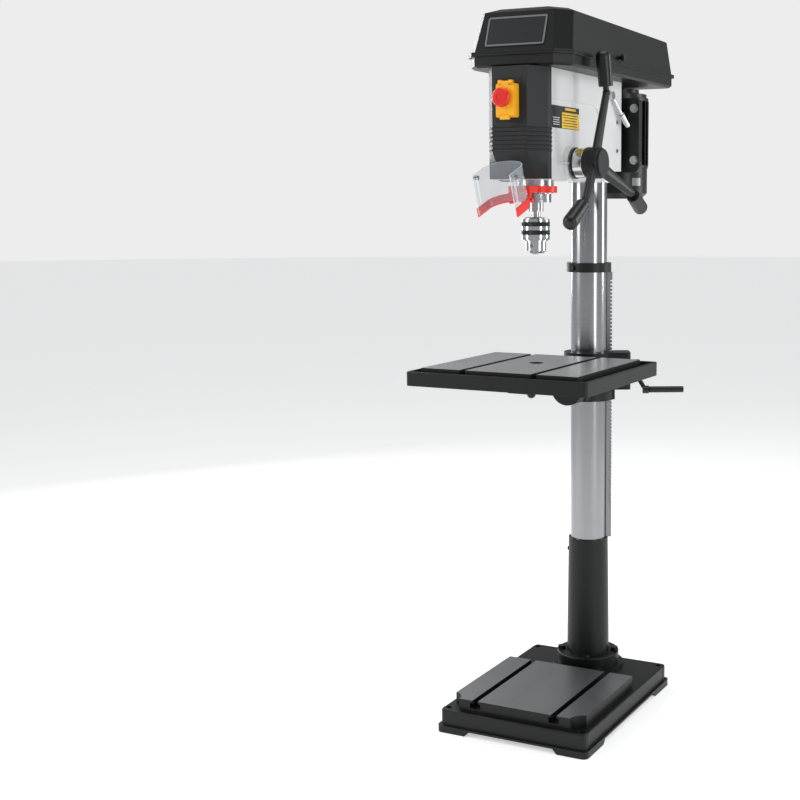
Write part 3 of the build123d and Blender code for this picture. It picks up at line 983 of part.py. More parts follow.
def spring_housing():
    x1 = -HEAD_W / 2 - BOSS_OUT - GAP
    x0 = x1 - SPRING_T
    body = cyl_x(SPRING_R, x0, x1, PINION_Y, PINION_Z)
    body = fillet(body.edges().sort_by(Axis.X)[0], 4)
    body -= cyl_x(SPRING_R - 3, x0 + 3, x1 + 1, PINION_Y, PINION_Z)
    body += cyl_x(SPRING_R - 0.5, x1 - 3, x1, PINION_Y, PINION_Z)
    return body - cyl_x(SHAFT_R + FIT, x0 - 1, x1 + 1, PINION_Y, PINION_Z)


def return_spring():
    x1 = -HEAD_W / 2 - BOSS_OUT - GAP - 6
    turns, r0, r1 = 5, SHAFT_R + 4, SPRING_R - 5
    rings = [cyl_x(r0 + (r1 - r0) * i / turns + 1.2, x1 - 20, x1, PINION_Y, PINION_Z)
             - cyl_x(r0 + (r1 - r0) * i / turns, x1 - 21, x1 + 1, PINION_Y,
                     PINION_Z) for i in range(turns + 1)]
    web = block(x1 - 20, x1, PINION_Y - 0.6, PINION_Y + 0.6, PINION_Z + r0 + 0.5, PINION_Z + r1 + 1)
    body = web
    for one in rings:
        body += one
    return body


def shaft_nuts():
    x1 = SHAFT_LEFT + 11
    nut = Pos(x1, PINION_Y, PINION_Z) * Rot(0, -90, 0) * hexagon(24, 0, 9)
    return nut - cyl_x(SHAFT_R - 2.5, SHAFT_LEFT - 2, x1 + 1, PINION_Y, PINION_Z)


def quill_lock():
    # lock screw on the left flank with its small lever
    x = -HEAD_W / 2 + RECESS
    y, z = -THROAT, LOCK_Z
    screw = cyl_x(LOCK_R, x - 16, -QUILL_R - 3, y, z) + cyl_x(9, x - 16, x - 4, y, z)
    return screw + rod_between(Vector(x - 10, y, z), Vector(x - 18, y - 30, z + 48), 4)


def motor_body():
    body = cyl(MOTOR_R - 10, MOTOR_LOW, MOTOR_HIGH, 0, MOTOR_Y)
    fins = 26
    for i in range(fins):
        fin = block(MOTOR_R - 14, MOTOR_R, -1.6, 1.6, MOTOR_LOW + 6, MOTOR_HIGH - 8)
        body += Pos(0, MOTOR_Y, 0) * Rot(0, 0, -68 + i * 316 / (fins - 1)) * fin
    body += cyl(MOTOR_R - 1, MOTOR_LOW, MOTOR_LOW + 8, 0, MOTOR_Y) + cyl(MOTOR_R - 1, MOTOR_HIGH - 8,
                                                                         MOTOR_HIGH, 0, MOTOR_Y)
    foot = block(-PLATE_W / 2 + 4, PLATE_W / 2 - 4, PLATE_Y + PLATE_T, PLATE_Y + PLATE_T + 22,
                 MOTOR_LOW + 4, MOTOR_HIGH - 12)
    foot = fillet(foot.edges().filter_by(Axis.Y), 12)
    body += foot + block(-52, 52, PLATE_Y + PLATE_T + 10, MOTOR_Y - 50, MOTOR_LOW + 8, MOTOR_HIGH - 16)
    for x, z in motor_bolt_points():
        body -= cyl_y(MOTOR_BOLT_R + FIT, PLATE_Y, MOTOR_Y - 50, x, z)
    return body - cyl(MOTOR_SHAFT_R + 2, MOTOR_LOW - 1, MOTOR_HIGH + 1, 0, MOTOR_Y)


def motor_bolt_points():
    return [(s * MOTOR_BOLT_X, z) for s in (-1, 1) for z in (MOTOR_BOLT_LOW, MOTOR_BOLT_HIGH)]


def motor_end_shield():
    body = cyl(MOTOR_R - 6, MOTOR_HIGH, MOTOR_HIGH + 10, 0, MOTOR_Y) + cyl(MOTOR_R - 26, MOTOR_HIGH,
                                                                           MOTOR_HIGH + 22, 0, MOTOR_Y)
    body -= cyl(MOTOR_SHAFT_R + FIT, MOTOR_HIGH - 1, MOTOR_HIGH + 23, 0, MOTOR_Y)
    return body


def motor_shaft():
    top = PULLEY_LOW + 4 * STEP_H + 3
    return cyl(MOTOR_SHAFT_R, FAN_LOW + 18, top, 0, MOTOR_Y)


def motor_fan():
    body = cyl(18, FAN_LOW + 20, FAN_LOW + 60, 0, MOTOR_Y)
    blade = block(14, MOTOR_R - 16, -1, 1, FAN_LOW + 24, FAN_LOW + 56)
    for i in range(8):
        body += Pos(0, MOTOR_Y, 0) * Rot(0, 0, i * 45) * blade
    return body - cyl(MOTOR_SHAFT_R, FAN_LOW, FAN_LOW + 70, 0, MOTOR_Y)


def fan_cover():
    r = MOTOR_R - 3
    body = cyl(r, FAN_LOW + 14, MOTOR_LOW + 4, 0, MOTOR_Y)
    body += Pos(0, MOTOR_Y, FAN_LOW + 7) * Cone(r - 14, r, 14)
    body -= cyl(r - 3, FAN_LOW + 14, MOTOR_LOW + 5, 0, MOTOR_Y) + Pos(0, MOTOR_Y,
                                                                      FAN_LOW + 8.5) * Cone(r - 17, r - 3, 11)
    body -= [ring(10 + 12 * i + 5, 10 + 12 * i, FAN_LOW - 1, FAN_LOW + 6, 0, MOTOR_Y)
             - block(-70, 70, MOTOR_Y - 3, MOTOR_Y + 3, FAN_LOW - 2, FAN_LOW + 7)
             - block(-3, 3, MOTOR_Y - 70, MOTOR_Y + 70, FAN_LOW - 2, FAN_LOW + 7) for i in range(4)]
    return body - cyl(MOTOR_R - 1 + FIT, MOTOR_LOW, MOTOR_LOW + 9, 0, MOTOR_Y)


def motor_plate():
    plate = block(-PLATE_W / 2, PLATE_W / 2, PLATE_Y, PLATE_Y + PLATE_T, PLATE_LOW, PLATE_HIGH)
    plate = fillet(plate.edges().filter_by(Axis.Y), 14)
    for x, z in motor_bolt_points():
        plate -= cyl_y(MOTOR_BOLT_R + FIT, PLATE_Y - 1, PLATE_Y + PLATE_T + 1, x, z)
    return plate


def motor_bolts():
    bolt = Rot(90, 0, 0) * hex_bolt(MOTOR_BOLT_R, 30, 17, 7) + cyl_y(11, -2, 0)
    return [Pos(x, PLATE_Y, z) * bolt for x, z in motor_bolt_points()]


def slide_bars():
    return [cyl_y(BAR_R, BAR_FRONT, PLATE_Y, s * BAR_X, BAR_Z) for s in (-1, 1)]


def tension_lever():
    x0, x1 = CLAMP_R - 3, HEAD_W / 2 + 6
    shaft = cyl_x(TENSION_R, x0, x1, TENSION_Y, TENSION_Z) + cyl_x(10, HEAD_W / 2 + GAP, x1 + 5,
                                                                   TENSION_Y, TENSION_Z)
    a = radians(TENSION_ANGLE)
    tip = (x1 + 10, TENSION_Y + TENSION_LEN * cos(a), TENSION_Z + TENSION_LEN * sin(a))
    start = Vector(x1 - 1, TENSION_Y, TENSION_Z)
    line = Vector(*tip) - start
    bar = Plane(origin=start, z_dir=line.normalized()) * (extrude(Circle(4.5), line.length)
          + Pos(0, 0, line.length * 0.62) * extrude(Circle(7), line.length * 0.38))
    return shaft + bar


def tension_cam():
    return cyl_x(CAM_R, CLAMP_R - 7.5, CLAMP_R - 3, TENSION_Y, TENSION_Z)


LEVER_ANGLES = [LEVER_START - i * 360 / LEVERS for i in range(LEVERS)]


def build():
    os.makedirs("parts", exist_ok=True)
    # stand
    save("base_casting", base_casting())
    save("column_foot", column_foot())
    save("foot_bolts", *foot_bolts())
    save("stand_screws", rack_ring_screw(), *foot_set_screws())
    save("column_tube", column_tube())
    save("rack_ring", rack_ring())
    save("column_rack", column_rack())
    # table and its lift
    save("table_bracket", table_bracket())
    save("tilt_bolt", tilt_bolt())
    save("table_casting", table_casting())
    save("table_clamp", table_clamp(), table_clamp_ball())
    save("lift_pinion", lift_pinion(), worm_wheel())
    save("lift_worm", lift_worm())
    save("crank_arm", crank_arm())
    save("crank_grip", crank_grip())
    # head, shroud and switch
    save("head_casting", head_casting())
    save("head_set_screws", *head_set_screws())
    save("nose_collar", nose_collar())
    save("front_shroud", front_shroud())
    save("switch_plate", switch_plate())
    save("switch_body", switch_body())
    save("start_button", button(BUTTON_Z[1]))
    save("stop_button", button(BUTTON_Z[0]))
    save("stop_flap", stop_flap(), stop_mushroom())
    # belt cover and belt drive
    save("cover_tray", cover_tray())
    save("cover_lid", cover_lid(), lid_knob())
    save("badge_plate", badge_plate())
    save("lid_hinge_pins", *lid_hinge_pins())
    save("spindle_pulley", spindle_pulley())
    save("idler_pulley", idler_pulley())
    save("motor_pulley", motor_pulley())
    save("idler_post", idler_post())
    save("drive_belts", front_belt(), rear_belt())
    save("drive_sleeve", drive_sleeve())
    save("sleeve_bearings", *sleeve_bearings())
    # quill, spindle and chuck
    save("quill", quill(), quill_collar())
    save("spindle_bearings", *spindle_bearings())
    save("spindle", spindle())
    save("chuck_body", chuck_body())
    save("chuck_sleeve", chuck_sleeve())
    for i in range(3):
        save(f"chuck_jaw_{i + 1}", chuck_jaw(i))
    # chuck guard
    save("guard_ring", guard_ring(), guard_pin())
    save("guard_band", guard_band())
    save("guard_shield", guard_shield(), *guard_screws())
    # feed
    save("pinion_shaft", pinion_shaft(), stop_collar(), shaft_nuts())
    save("depth_scale", scale_ring())
    save("feed_hub", feed_hub(), hub_cap())
    save("feed_levers", *[lever_arm(a) for a in LEVER_ANGLES])
    save("lever_grips", *[lever_grip(a) for a in LEVER_ANGLES])
    save("spring_housing", spring_housing())
    save("return_spring", return_spring())
    save("quill_lock", quill_lock())
    # motor and belt tension
    save("motor_body", motor_body(), motor_end_shield())
    save("motor_rotor", motor_shaft(), motor_fan())
    save("fan_cover", fan_cover())
    save("motor_mount", motor_plate(), *slide_bars())
    save("motor_bolts", *motor_bolts())
    save("tension_lever", tension_lever(), tension_cam())


build()
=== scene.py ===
import bpy
import math
from mathutils import Matrix, Vector


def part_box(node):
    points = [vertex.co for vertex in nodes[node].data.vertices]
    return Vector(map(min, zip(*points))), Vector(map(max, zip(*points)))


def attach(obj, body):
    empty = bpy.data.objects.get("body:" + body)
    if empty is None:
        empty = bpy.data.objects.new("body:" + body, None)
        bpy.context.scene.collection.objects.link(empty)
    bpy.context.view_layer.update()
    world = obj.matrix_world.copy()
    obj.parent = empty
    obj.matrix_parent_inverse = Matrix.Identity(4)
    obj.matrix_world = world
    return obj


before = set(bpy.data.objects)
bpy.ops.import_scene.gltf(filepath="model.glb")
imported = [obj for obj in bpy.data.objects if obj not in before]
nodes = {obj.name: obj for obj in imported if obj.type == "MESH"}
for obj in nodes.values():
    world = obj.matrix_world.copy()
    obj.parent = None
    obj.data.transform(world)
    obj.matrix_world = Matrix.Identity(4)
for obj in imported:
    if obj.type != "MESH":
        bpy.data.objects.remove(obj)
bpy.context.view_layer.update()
mm = 0.001
print("frame loaded:", len(nodes), "CAD pieces")


def hexToLinear(code):
    channels = [int(code[i:i + 2], 16) / 255 for i in (1, 3, 5)]
    return [c / 12.92 if c <= 0.04045 else ((c + 0.055) / 1.055) ** 2.4 for c in channels] + [1.0]


def addNode(tree, kind, inputs=None, **settings):
    node = tree.nodes.new(kind)
    for name, value in settings.items():
        setattr(node, name, value)
    for socket, value in (inputs or {}).items():
        if isinstance(value, bpy.types.NodeSocket):
            tree.links.new(value, node.inputs[socket])
        else:
            node.inputs[socket].default_value = value
    return node


def newMaterial(name, shader):
    # a principled material: colour as hex, the rest straight on the shader's own sockets
    material = bpy.data.materials.new(name)
    material.use_nodes = True
    tree = material.node_tree
    tree.nodes.clear()
    inputs = {"Base Color": hexToLinear(shader["colour"]), "Roughness": shader["roughness"],
              "Metallic": shader.get("metallic", 0.0)}
    for socket, key in (("IOR", "ior"), ("Coat Weight", "coat"), ("Coat Roughness", "coatRoughness"),
                        ("Alpha", "alpha")):
        if key in shader:
            inputs[socket] = shader[key]
    principled = addNode(tree, "ShaderNodeBsdfPrincipled", inputs)
    addNode(tree, "ShaderNodeOutputMaterial", {"Surface": principled.outputs[0]})
    return material, tree, principled


def objectPoint(tree, stretch):
    # the piece's own coordinates in metres, stretched along the axes a tool mark runs along
    place = addNode(tree, "ShaderNodeTexCoord").outputs["Object"]
    return addNode(tree, "ShaderNodeMapping", {"Vector": place, "Scale": stretch}).outputs[0]


# what every noise in the surfaces has in common: octaves, how strong the fine ones are, and the range
# that most of a noise's values lie in
noise = {"detail": 3.0, "toneDetail": 4.0, "fineShare": 0.55, "low": 0.3, "high": 0.7, "edgeSamples": 4,
         "strength": 0.5}


def grainHeight(tree, grain):
    # fine relief of a surface: size is the real spacing in mm, stretch below 1 draws it out along an axis
    point = objectPoint(tree, grain.get("stretch", (1, 1, 1)))
    return addNode(tree, "ShaderNodeTexNoise", {"Vector": point, "Scale": 1 / (grain["size"] * mm),
                                                "Detail": noise["detail"],
                                                "Roughness": noise["fineShare"]}).outputs[0]


def roughen(tree, principled, grain):
    # relief and a matching spread of gloss, soft edges, and slow changes of tone over the piece
    height = grainHeight(tree, grain)
    relief = {"Height": height, "Strength": grain.get("strength", noise["strength"]),
              "Distance": grain["depth"] * mm}
    if "edge" in grain:
        relief["Normal"] = addNode(tree, "ShaderNodeBevel", {"Radius": grain["edge"] * mm},
                                   samples=noise["edgeSamples"]).outputs[0]
    bump = addNode(tree, "ShaderNodeBump", relief)
    tree.links.new(bump.outputs[0], principled.inputs["Normal"])
    if "gloss" in grain:
        low, high = grain["gloss"]
        spread = addNode(tree, "ShaderNodeMapRange", {"Value": height, "From Min": noise["low"],
                                                      "From Max": noise["high"], "To Min": low,
                                                      "To Max": high})
        tree.links.new(spread.outputs[0], principled.inputs["Roughness"])
    if "tones" in grain:
        tone = addNode(tree, "ShaderNodeTexNoise", {"Vector": objectPoint(tree, grain["toneStretch"]),
                                                    "Scale": 1 / (grain["toneSize"] * mm),
                                                    "Detail": noise["toneDetail"]})
        dark, light = (hexToLinear(code) for code in grain["tones"])
        ramp = addNode(tree, "ShaderNodeMix", {0: tone.outputs[0], 6: dark, 7: light}, data_type="RGBA")
        tree.links.new(ramp.outputs[2], principled.inputs["Base Color"])


def finish(name, shader, grain=None):
    material, tree, principled = newMaterial(name, shader)
    if grain:
        roughen(tree, principled, grain)
    return material


# sand-cast grey iron under satin black machine paint: a pebbly skin about 1.6 mm across, soft highlights
paintedCastIron = finish("painted cast iron", {"colour": "#0b0c0d", "roughness": 0.42, "ior": 1.4},
                         {"size": 1.6, "depth": 0.12, "strength": 0.55, "edge": 1.4, "gloss": (0.36, 0.5)})
# surface-ground grey iron: fine grinding lines along the table, bright but not a mirror
groundTable = finish("surface-ground cast iron", {"colour": "#c4c5c6", "roughness": 0.34, "metallic": 1.0},
                     {"size": 0.9, "stretch": (1, 0.02, 1), "depth": 0.03, "strength": 0.35,
                      "gloss": (0.26, 0.4), "tones": ("#b4b5b6", "#d0d1d2"), "toneSize": 90,
                      "toneStretch": (1, 0.35, 1)})
# the base island is ground too but left oiled, so it is darker
groundBase = finish("oiled ground cast iron", {"colour": "#9a9c9e", "roughness": 0.38, "metallic": 1.0},
                    {"size": 1.2, "stretch": (1, 0.03, 1), "depth": 0.04, "strength": 0.4,
                     "gloss": (0.3, 0.46), "tones": ("#8a8c8e", "#a6a8aa"), "toneSize": 110,
                     "toneStretch": (1, 0.4, 1)})
# drawn steel tube polished on its outside: faint rings round the tube
polishedTube = finish("polished steel tube", {"colour": "#97989b", "roughness": 0.2, "metallic": 1.0},
                      {"size": 1.0, "stretch": (0.03, 0.03, 1), "depth": 0.01, "strength": 0.2,
                       "gloss": (0.16, 0.24)})
# milled mild steel: short cutter marks across the teeth
milledSteel = finish("milled steel", {"colour": "#8d8e90", "roughness": 0.36, "metallic": 1.0},
                     {"size": 0.8, "stretch": (1, 1, 0.1), "depth": 0.02, "strength": 0.3,
                      "gloss": (0.28, 0.42)})
# turned and ground alloy steel of quill, spindle and shafts
turnedSteel = finish("turned steel", {"colour": "#b4b5b7", "roughness": 0.24, "metallic": 1.0},
                     {"size": 0.6, "stretch": (0.05, 0.05, 1), "depth": 0.008, "strength": 0.2,
                      "gloss": (0.2, 0.3)})
# bright nickel-chrome plate: nearly a mirror
chromePlate = finish("chrome plate", {"colour": "#c6c8ca", "roughness": 0.14, "metallic": 1.0})
# the knurled bands are painted almost black, a painted shade of their grooves between the bright lands
knurlGrooveShade = finish("knurled steel, painted groove shade", {"colour": "#2c2d2f", "roughness": 0.4, "metallic": 0.8})
# zinc plated bolts: bluish, slightly dull
zincPlate = finish("zinc plated steel", {"colour": "#a9acae", "roughness": 0.3, "metallic": 1.0})
# blackened fasteners and handles: an oiled near-black oxide skin
blackOxide = finish("black oxide steel", {"colour": "#0f1011", "roughness": 0.36, "ior": 1.45},
                    {"size": 0.7, "depth": 0.02, "strength": 0.25, "edge": 0.5})
# die-cast and turned aluminium pulleys
turnedAluminium = finish("turned aluminium", {"colour": "#bdbfc1", "roughness": 0.3, "metallic": 1.0},
                         {"size": 0.7, "stretch": (0.1, 0.1, 1), "depth": 0.01, "strength": 0.25})
# light grey enamel over filled iron: smooth with a little orange peel, about 2.6 mm across
greyEnamel = finish("light grey enamel", {"colour": "#dcdddd", "roughness": 0.28, "ior": 1.5, "coat": 0.25,
                                          "coatRoughness": 0.15},
                    {"size": 2.6, "depth": 0.03, "strength": 0.3, "edge": 1.2})
# moulded ABS with a spark-eroded texture: its real grain is about 0.2 mm, drawn at 0.8 mm so that it shows
texturedAbs = finish("textured black ABS", {"colour": "#18191b", "roughness": 0.5, "ior": 1.42},
                     {"size": 0.8, "depth": 0.05, "strength": 0.4, "edge": 1.0, "gloss": (0.44, 0.56)})
# vacuum-formed ABS cover: softer corners, a faint leather grain
coverAbs = finish("vacuum-formed black ABS", {"colour": "#0a0b0c", "roughness": 0.4, "ior": 1.38},
                  {"size": 1.3, "depth": 0.06, "strength": 0.4, "edge": 2.2, "gloss": (0.34, 0.46)})
# phenolic grips: moulded smooth and hard
phenolicGrip = finish("moulded phenolic", {"colour": "#0c0d0e", "roughness": 0.34, "ior": 1.45})
# injection-moulded ABS of the switch: saturated, glossy, with softly rounded edges
moulded = {"roughness": 0.3, "ior": 1.48}
mouldedGrain = {"size": 0.9, "depth": 0.02, "edge": 0.8}
yellowAbs = finish("yellow moulded ABS", {"colour": "#f6b21c", **moulded}, mouldedGrain)
redAbs = finish("red moulded ABS", {"colour": "#d8201c", **moulded}, mouldedGrain)
greenAbs = finish("green moulded ABS", {"colour": "#1f8a3c", **moulded})
# moulded polypropylene guard: bright red, a little waxy
guardPolypropylene = finish("red polypropylene", {"colour": "#f0281a", "roughness": 0.36, "ior": 1.49},
                            {"size": 0.8, "depth": 0.02, "edge": 0.6})
# clear polycarbonate sheet: slightly grey and glossy
clearPolycarbonate = finish("clear polycarbonate", {"colour": "#b4bdc2", "roughness": 0.08, "ior": 1.45,
                                                    "alpha": 0.24})
# its sawn edges gather light and look almost solid: a painted highlight, a pale and nearly opaque colour
sheetEdgeHighlight = finish("sawn polycarbonate edge, painted highlight", {"colour": "#e4eaec", "roughness": 0.3, "alpha": 0.75})
# moulded belt rubber: matt, with a dusty grain
beltRubber = finish("belt rubber", {"colour": "#151515", "roughness": 0.7},
                    {"size": 0.6, "depth": 0.05, "strength": 0.5})
# pressed and painted motor shell: satin black
motorPaint = finish("satin black motor paint", {"colour": "#0a0b0c", "roughness": 0.36, "ior": 1.42},
                    {"size": 1.0, "depth": 0.03, "strength": 0.35, "edge": 0.6, "gloss": (0.3, 0.42)})
# printed vinyl labels and their inks: flat colour, a slight sheen
labelBlack = finish("black vinyl label", {"colour": "#111214", "roughness": 0.35})
labelYellow = finish("yellow vinyl label", {"colour": "#f0c419", "roughness": 0.35})
# the badge's moulded frame, grey against the black plate
badgeGrey = finish("grey moulded ABS", {"colour": "#66686a", "roughness": 0.4})
labelWhite = finish("white label ink", {"colour": "#d9dadb", "roughness": 0.4})
print("materials ready:", len(bpy.data.materials))

nodeFinish = {
    "base_casting": paintedCastIron, "column_foot": paintedCastIron, "foot_bolts": blackOxide,
    "stand_screws": blackOxide, "column_tube": polishedTube, "rack_ring": paintedCastIron,
    "column_rack": milledSteel, "table_bracket": paintedCastIron, "tilt_bolt": zincPlate,
    "table_casting": paintedCastIron, "table_clamp": blackOxide, "lift_pinion": milledSteel,
    "lift_worm": turnedSteel, "crank_arm": blackOxide, "crank_grip": blackOxide,
    "head_casting": greyEnamel, "head_set_screws": zincPlate, "nose_collar": turnedSteel,
    "front_shroud": texturedAbs, "switch_plate": texturedAbs, "switch_body": yellowAbs,
    "start_button": greenAbs, "stop_button": redAbs, "stop_flap": yellowAbs, "cover_tray": coverAbs,
    "cover_lid": coverAbs, "badge_plate": labelBlack, "lid_hinge_pins": zincPlate,
    "spindle_pulley": turnedAluminium, "idler_pulley": turnedAluminium, "motor_pulley": turnedAluminium,
    "idler_post": milledSteel, "drive_belts": beltRubber, "drive_sleeve": turnedSteel,
    "sleeve_bearings": turnedSteel, "quill": turnedSteel, "spindle_bearings": turnedSteel,
    "spindle": turnedSteel, "chuck_body": chromePlate, "chuck_sleeve": chromePlate,
    "chuck_jaw_1": turnedSteel, "chuck_jaw_2": turnedSteel, "chuck_jaw_3": turnedSteel,
    "guard_ring": guardPolypropylene, "guard_band": guardPolypropylene, "guard_shield": clearPolycarbonate,
    "pinion_shaft": chromePlate, "depth_scale": blackOxide, "feed_hub": texturedAbs,
    "feed_levers": blackOxide, "lever_grips": phenolicGrip, "spring_housing": blackOxide,
    "return_spring": milledSteel, "quill_lock": blackOxide, "motor_body": motorPaint,
    "motor_rotor": turnedSteel, "fan_cover": motorPaint, "motor_mount": motorPaint,
    "motor_bolts": zincPlate, "tension_lever": chromePlate,
}


def paintNode(name, material):
    data = nodes[name].data
    data.materials.clear()
    data.materials.append(material)
    for face in data.polygons:
        face.material_index = 0


def paintFaces(name, material, wanted):
    # a second finish on the faces that a test of centre and normal picks out
    data = nodes[name].data
    data.materials.append(material)
    index = len(data.materials) - 1
    for face in data.polygons:
        if wanted(face.center, face.normal):
            face.material_index = index


for nodeName, nodeMaterial in nodeFinish.items():
    paintNode(nodeName, nodeMaterial)

# the ground faces are the highest level ones of each casting
facesUp = 0.9
for nodeName, material in (("table_casting", groundTable), ("base_casting", groundBase)):
    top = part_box(nodeName)[1].z
    paintFaces(nodeName, material, lambda centre, normal: centre.z > top - mm and normal.z > facesUp)
print("CAD pieces painted:", len(nodeFinish))

# the red mushroom head is the round front part of the stop flap
mushroom = {"x": -4 * mm, "z": 1499 * mm, "radius": 22 * mm, "front": -457.5 * mm}
paintFaces("stop_flap", redAbs, lambda centre, normal: centre.y < mushroom["front"] and
           math.hypot(centre.x - mushroom["x"], centre.z - mushroom["z"]) < mushroom["radius"])

# the shield's wing screws stand at the outer ends of its slots, in the tipped frame of the open guard:
# outside the sheet beyond its outer face, inside it between the stem and the inner face
guard = {"hinge": (0, -385.0, 1277.0), "tilt": 20.0, "y": -97.0, "z": 86.0, "reach": 9.5, "sheetOut": 47.05,
         "sheetIn": 44.8, "stem": 39.0, "edgeY": -64.0}
intoGuard = (Matrix.Translation(Vector(guard["hinge"]) * mm)
             @ Matrix.Rotation(math.radians(guard["tilt"]), 4, "X")).inverted()


def onWingScrew(centre, normal):
    x, y, z = (v / mm for v in intoGuard @ centre)
    near = math.hypot(y - guard["y"], z - guard["z"]) < guard["reach"]
    return near and (abs(x) > guard["sheetOut"] or guard["stem"] < abs(x) < guard["sheetIn"])


def onSheetEdge(centre, normal):
    turned = intoGuard.to_3x3() @ normal
    y = (intoGuard @ centre).y / mm
    return abs(turned.z) > facesUp or (abs(turned.y) > facesUp and y < guard["edgeY"])


# the sheet's edge faces take the pale colour, a painted highlight
paintFaces("guard_shield", sheetEdgeHighlight, onSheetEdge)
paintFaces("guard_shield", chromePlate, onWingScrew)


def addPiece(name, points, faces, material, body, slotName):
    # a small mesh that the CAD leaves to the finish, riding on a body
    mesh = bpy.data.meshes.new(name)
    mesh.from_pydata([tuple(p) for p in points], [], faces)
    mesh.validate()
    mesh.materials.append(material)
    piece = bpy.data.objects.new(name, mesh)
    bpy.context.scene.collection.objects.link(piece)
    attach(piece, body)


def tubeFaces(count, rows):
    # quads between closed rings of count points each
    faces = []
    for r in range(rows):
        for i in range(count):
            a, b = r * count + i, r * count + (i + 1) % count
            faces.append([a, b, b + count, a + count])
    return faces


def roundedOutline(width, height, radius, steps=4):
    corners = [(1, 1, 0), (-1, 1, 90), (-1, -1, 180), (1, -1, 270)]
    outline = []
    for sx, sy, start in corners:
        cx, cy = sx * (width / 2 - radius), sy * (height / 2 - radius)
        for i in range(steps + 1):
            turn = math.radians(start + 90 * i / steps)
            outline.append((cx + radius * math.cos(turn), cy + radius * math.sin(turn)))
    return outline


def plateMesh(width, height, thick, radius, place):
    # a thin plate with rounded corners and a bevel round its face, half as deep as the plate allows
    bevel = min(thick, radius) / 2
    rings = [(roundedOutline(width, height, radius), 0.0),
             (roundedOutline(width, height, radius), thick - bevel),
             (roundedOutline(width - 2 * bevel, height - 2 * bevel, radius - bevel), thick)]
    points = [place @ Vector((x, y, z)) for outline, z in rings for x, y in outline]
    count = len(rings[0][0])
    faces = tubeFaces(count, 2) + [list(range(2 * count, 3 * count)), list(range(count - 1, -1, -1))]
    return points, faces


def facing(x, y, z, outward, up=(0, 0, 1)):
    # a placement whose Z points out of the surface and whose Y points up
    out, top = Vector(outward).normalized(), Vector(up)
    side = top.cross(out).normalized()
    top = out.cross(side)
    turn = Matrix((side, top, out)).transposed().to_4x4()
    return Matrix.Translation((x, y, z)) @ turn


def joined(parts):
    points, faces = [], []
    for partPoints, partFaces in parts:
        base = len(points)
        points += partPoints
        faces += [[base + i for i in face] for face in partFaces]
    return points, faces


def panelParts(panel, rows, place):
    # bars (right, up, width, height) on a panel, all in mm from its centre, with corners of a fifth
    return joined([plateMesh(w * mm, h * mm, panel["ink"] * mm, min(w, h) / 5 * mm,
                             place @ Matrix.Translation((x * mm, y * mm, panel["thick"] * mm)))
                   for x, y, w, h in rows])


# plain two-tone panel on the right flank of the head: a black plate, a yellow one on it, and bars for text
flank = {"x": 67.05, "front": -371.0, "split": -306.0, "rear": -210.0, "z": 1464.0, "height": 50.0,
         "corner": 2.0, "yellowHeight": 35.0, "yellowThick": 0.2, "yellowCorner": 1.0, "margin": 1.5,
         "thick": 0.4, "ink": 0.15}


def flankPlace(y, z, lift=0.0):
    return facing((flank["x"] + lift) * mm, y * mm, z * mm, (1, 0, 0))


panelLength = flank["rear"] - flank["front"]
panelMiddle = (flank["rear"] + flank["front"]) / 2
yellowLength = flank["rear"] - flank["split"] - 2 * flank["margin"]
yellowMiddle = (flank["rear"] + flank["split"]) / 2
yellowZ = flank["z"] - (flank["height"] - flank["yellowHeight"]) / 2 + flank["margin"]
blackMiddle = (flank["front"] + flank["split"]) / 2
# bars of uneven length, as lines of text are; the heading is one wider bar on the black strip above
barHeight = 1.8
paleBars = [(4, -2 - 5 * i, 36 - 5 * (i % 2), barHeight) for i in range(4)]
darkBars = [(-2, 12 - 6 * i, 84 - 9 * (i % 3), barHeight) for i in range(5)]
headingBar = [(0, 19.5, 60, 5)]
flankPieces = {
    "flankPanelBlack": (plateMesh(panelLength * mm, flank["height"] * mm, flank["thick"] * mm,
                                  flank["corner"] * mm, flankPlace(panelMiddle, flank["z"])),
                        labelBlack, "shroud_plastic"),
    "flankPanelYellow": (plateMesh(yellowLength * mm, flank["yellowHeight"] * mm, flank["yellowThick"] * mm,
                                   flank["yellowCorner"] * mm,
                                   flankPlace(yellowMiddle, yellowZ, flank["thick"])),
                         labelYellow, "switch_yellow"),
    "flankBarsPale": (panelParts(flank, paleBars, flankPlace(blackMiddle, flank["z"])), labelWhite,
                      "head_paint"),
    "flankBarsDark": (panelParts(flank, darkBars, flankPlace(yellowMiddle, yellowZ, flank["yellowThick"])),
                      labelBlack, "shroud_plastic"),
    "flankHeading": (panelParts(flank, headingBar, flankPlace(yellowMiddle, flank["z"])), labelYellow,
                     "switch_yellow"),
}
for name, (shape, material, slotName) in flankPieces.items():
    addPiece(name, *shape, material, "stand", slotName)
print("flank panel built")


# graduations round the depth scale, every fifth one longer
scale = {"x": 78.8, "y": -261.0, "z": 1362.0, "radius": 36.0, "marks": 60, "every": 5, "long": 5.5,
         "short": 3.2, "line": 0.7, "proud": 0.12, "corner": 0.2}


def tickMesh(turn, length):
    direction = Vector((0, math.cos(turn), math.sin(turn)))
    centre = Vector((scale["x"] + length / 2, scale["y"], scale["z"])) * mm
    place = facing(0, 0, 0, direction, (1, 0, 0))
    place.translation = centre + direction * scale["radius"] * mm
    return plateMesh(scale["line"] * mm, length * mm, scale["proud"] * mm, scale["corner"] * mm, place)


ticks = [tickMesh(2 * math.pi * i / scale["marks"], scale["short"] if i % scale["every"] else scale["long"])
         for i in range(scale["marks"])]
addPiece("scaleMarks", *joined(ticks), labelWhite, "scale", "machined")
print("depth scale marked")


# diamond knurl round the two gripping bands of the chuck sleeve; a real one is about 1.2 mm in pitch,
# drawn at twice that so that it shows
knurl = {"y": -305.0, "radius": 32.75, "bands": ((1197.5, 1208.0), (1217.0, 1227.0)), "pitch": 2.6,
         "depth": 0.35, "fewestRows": 3}


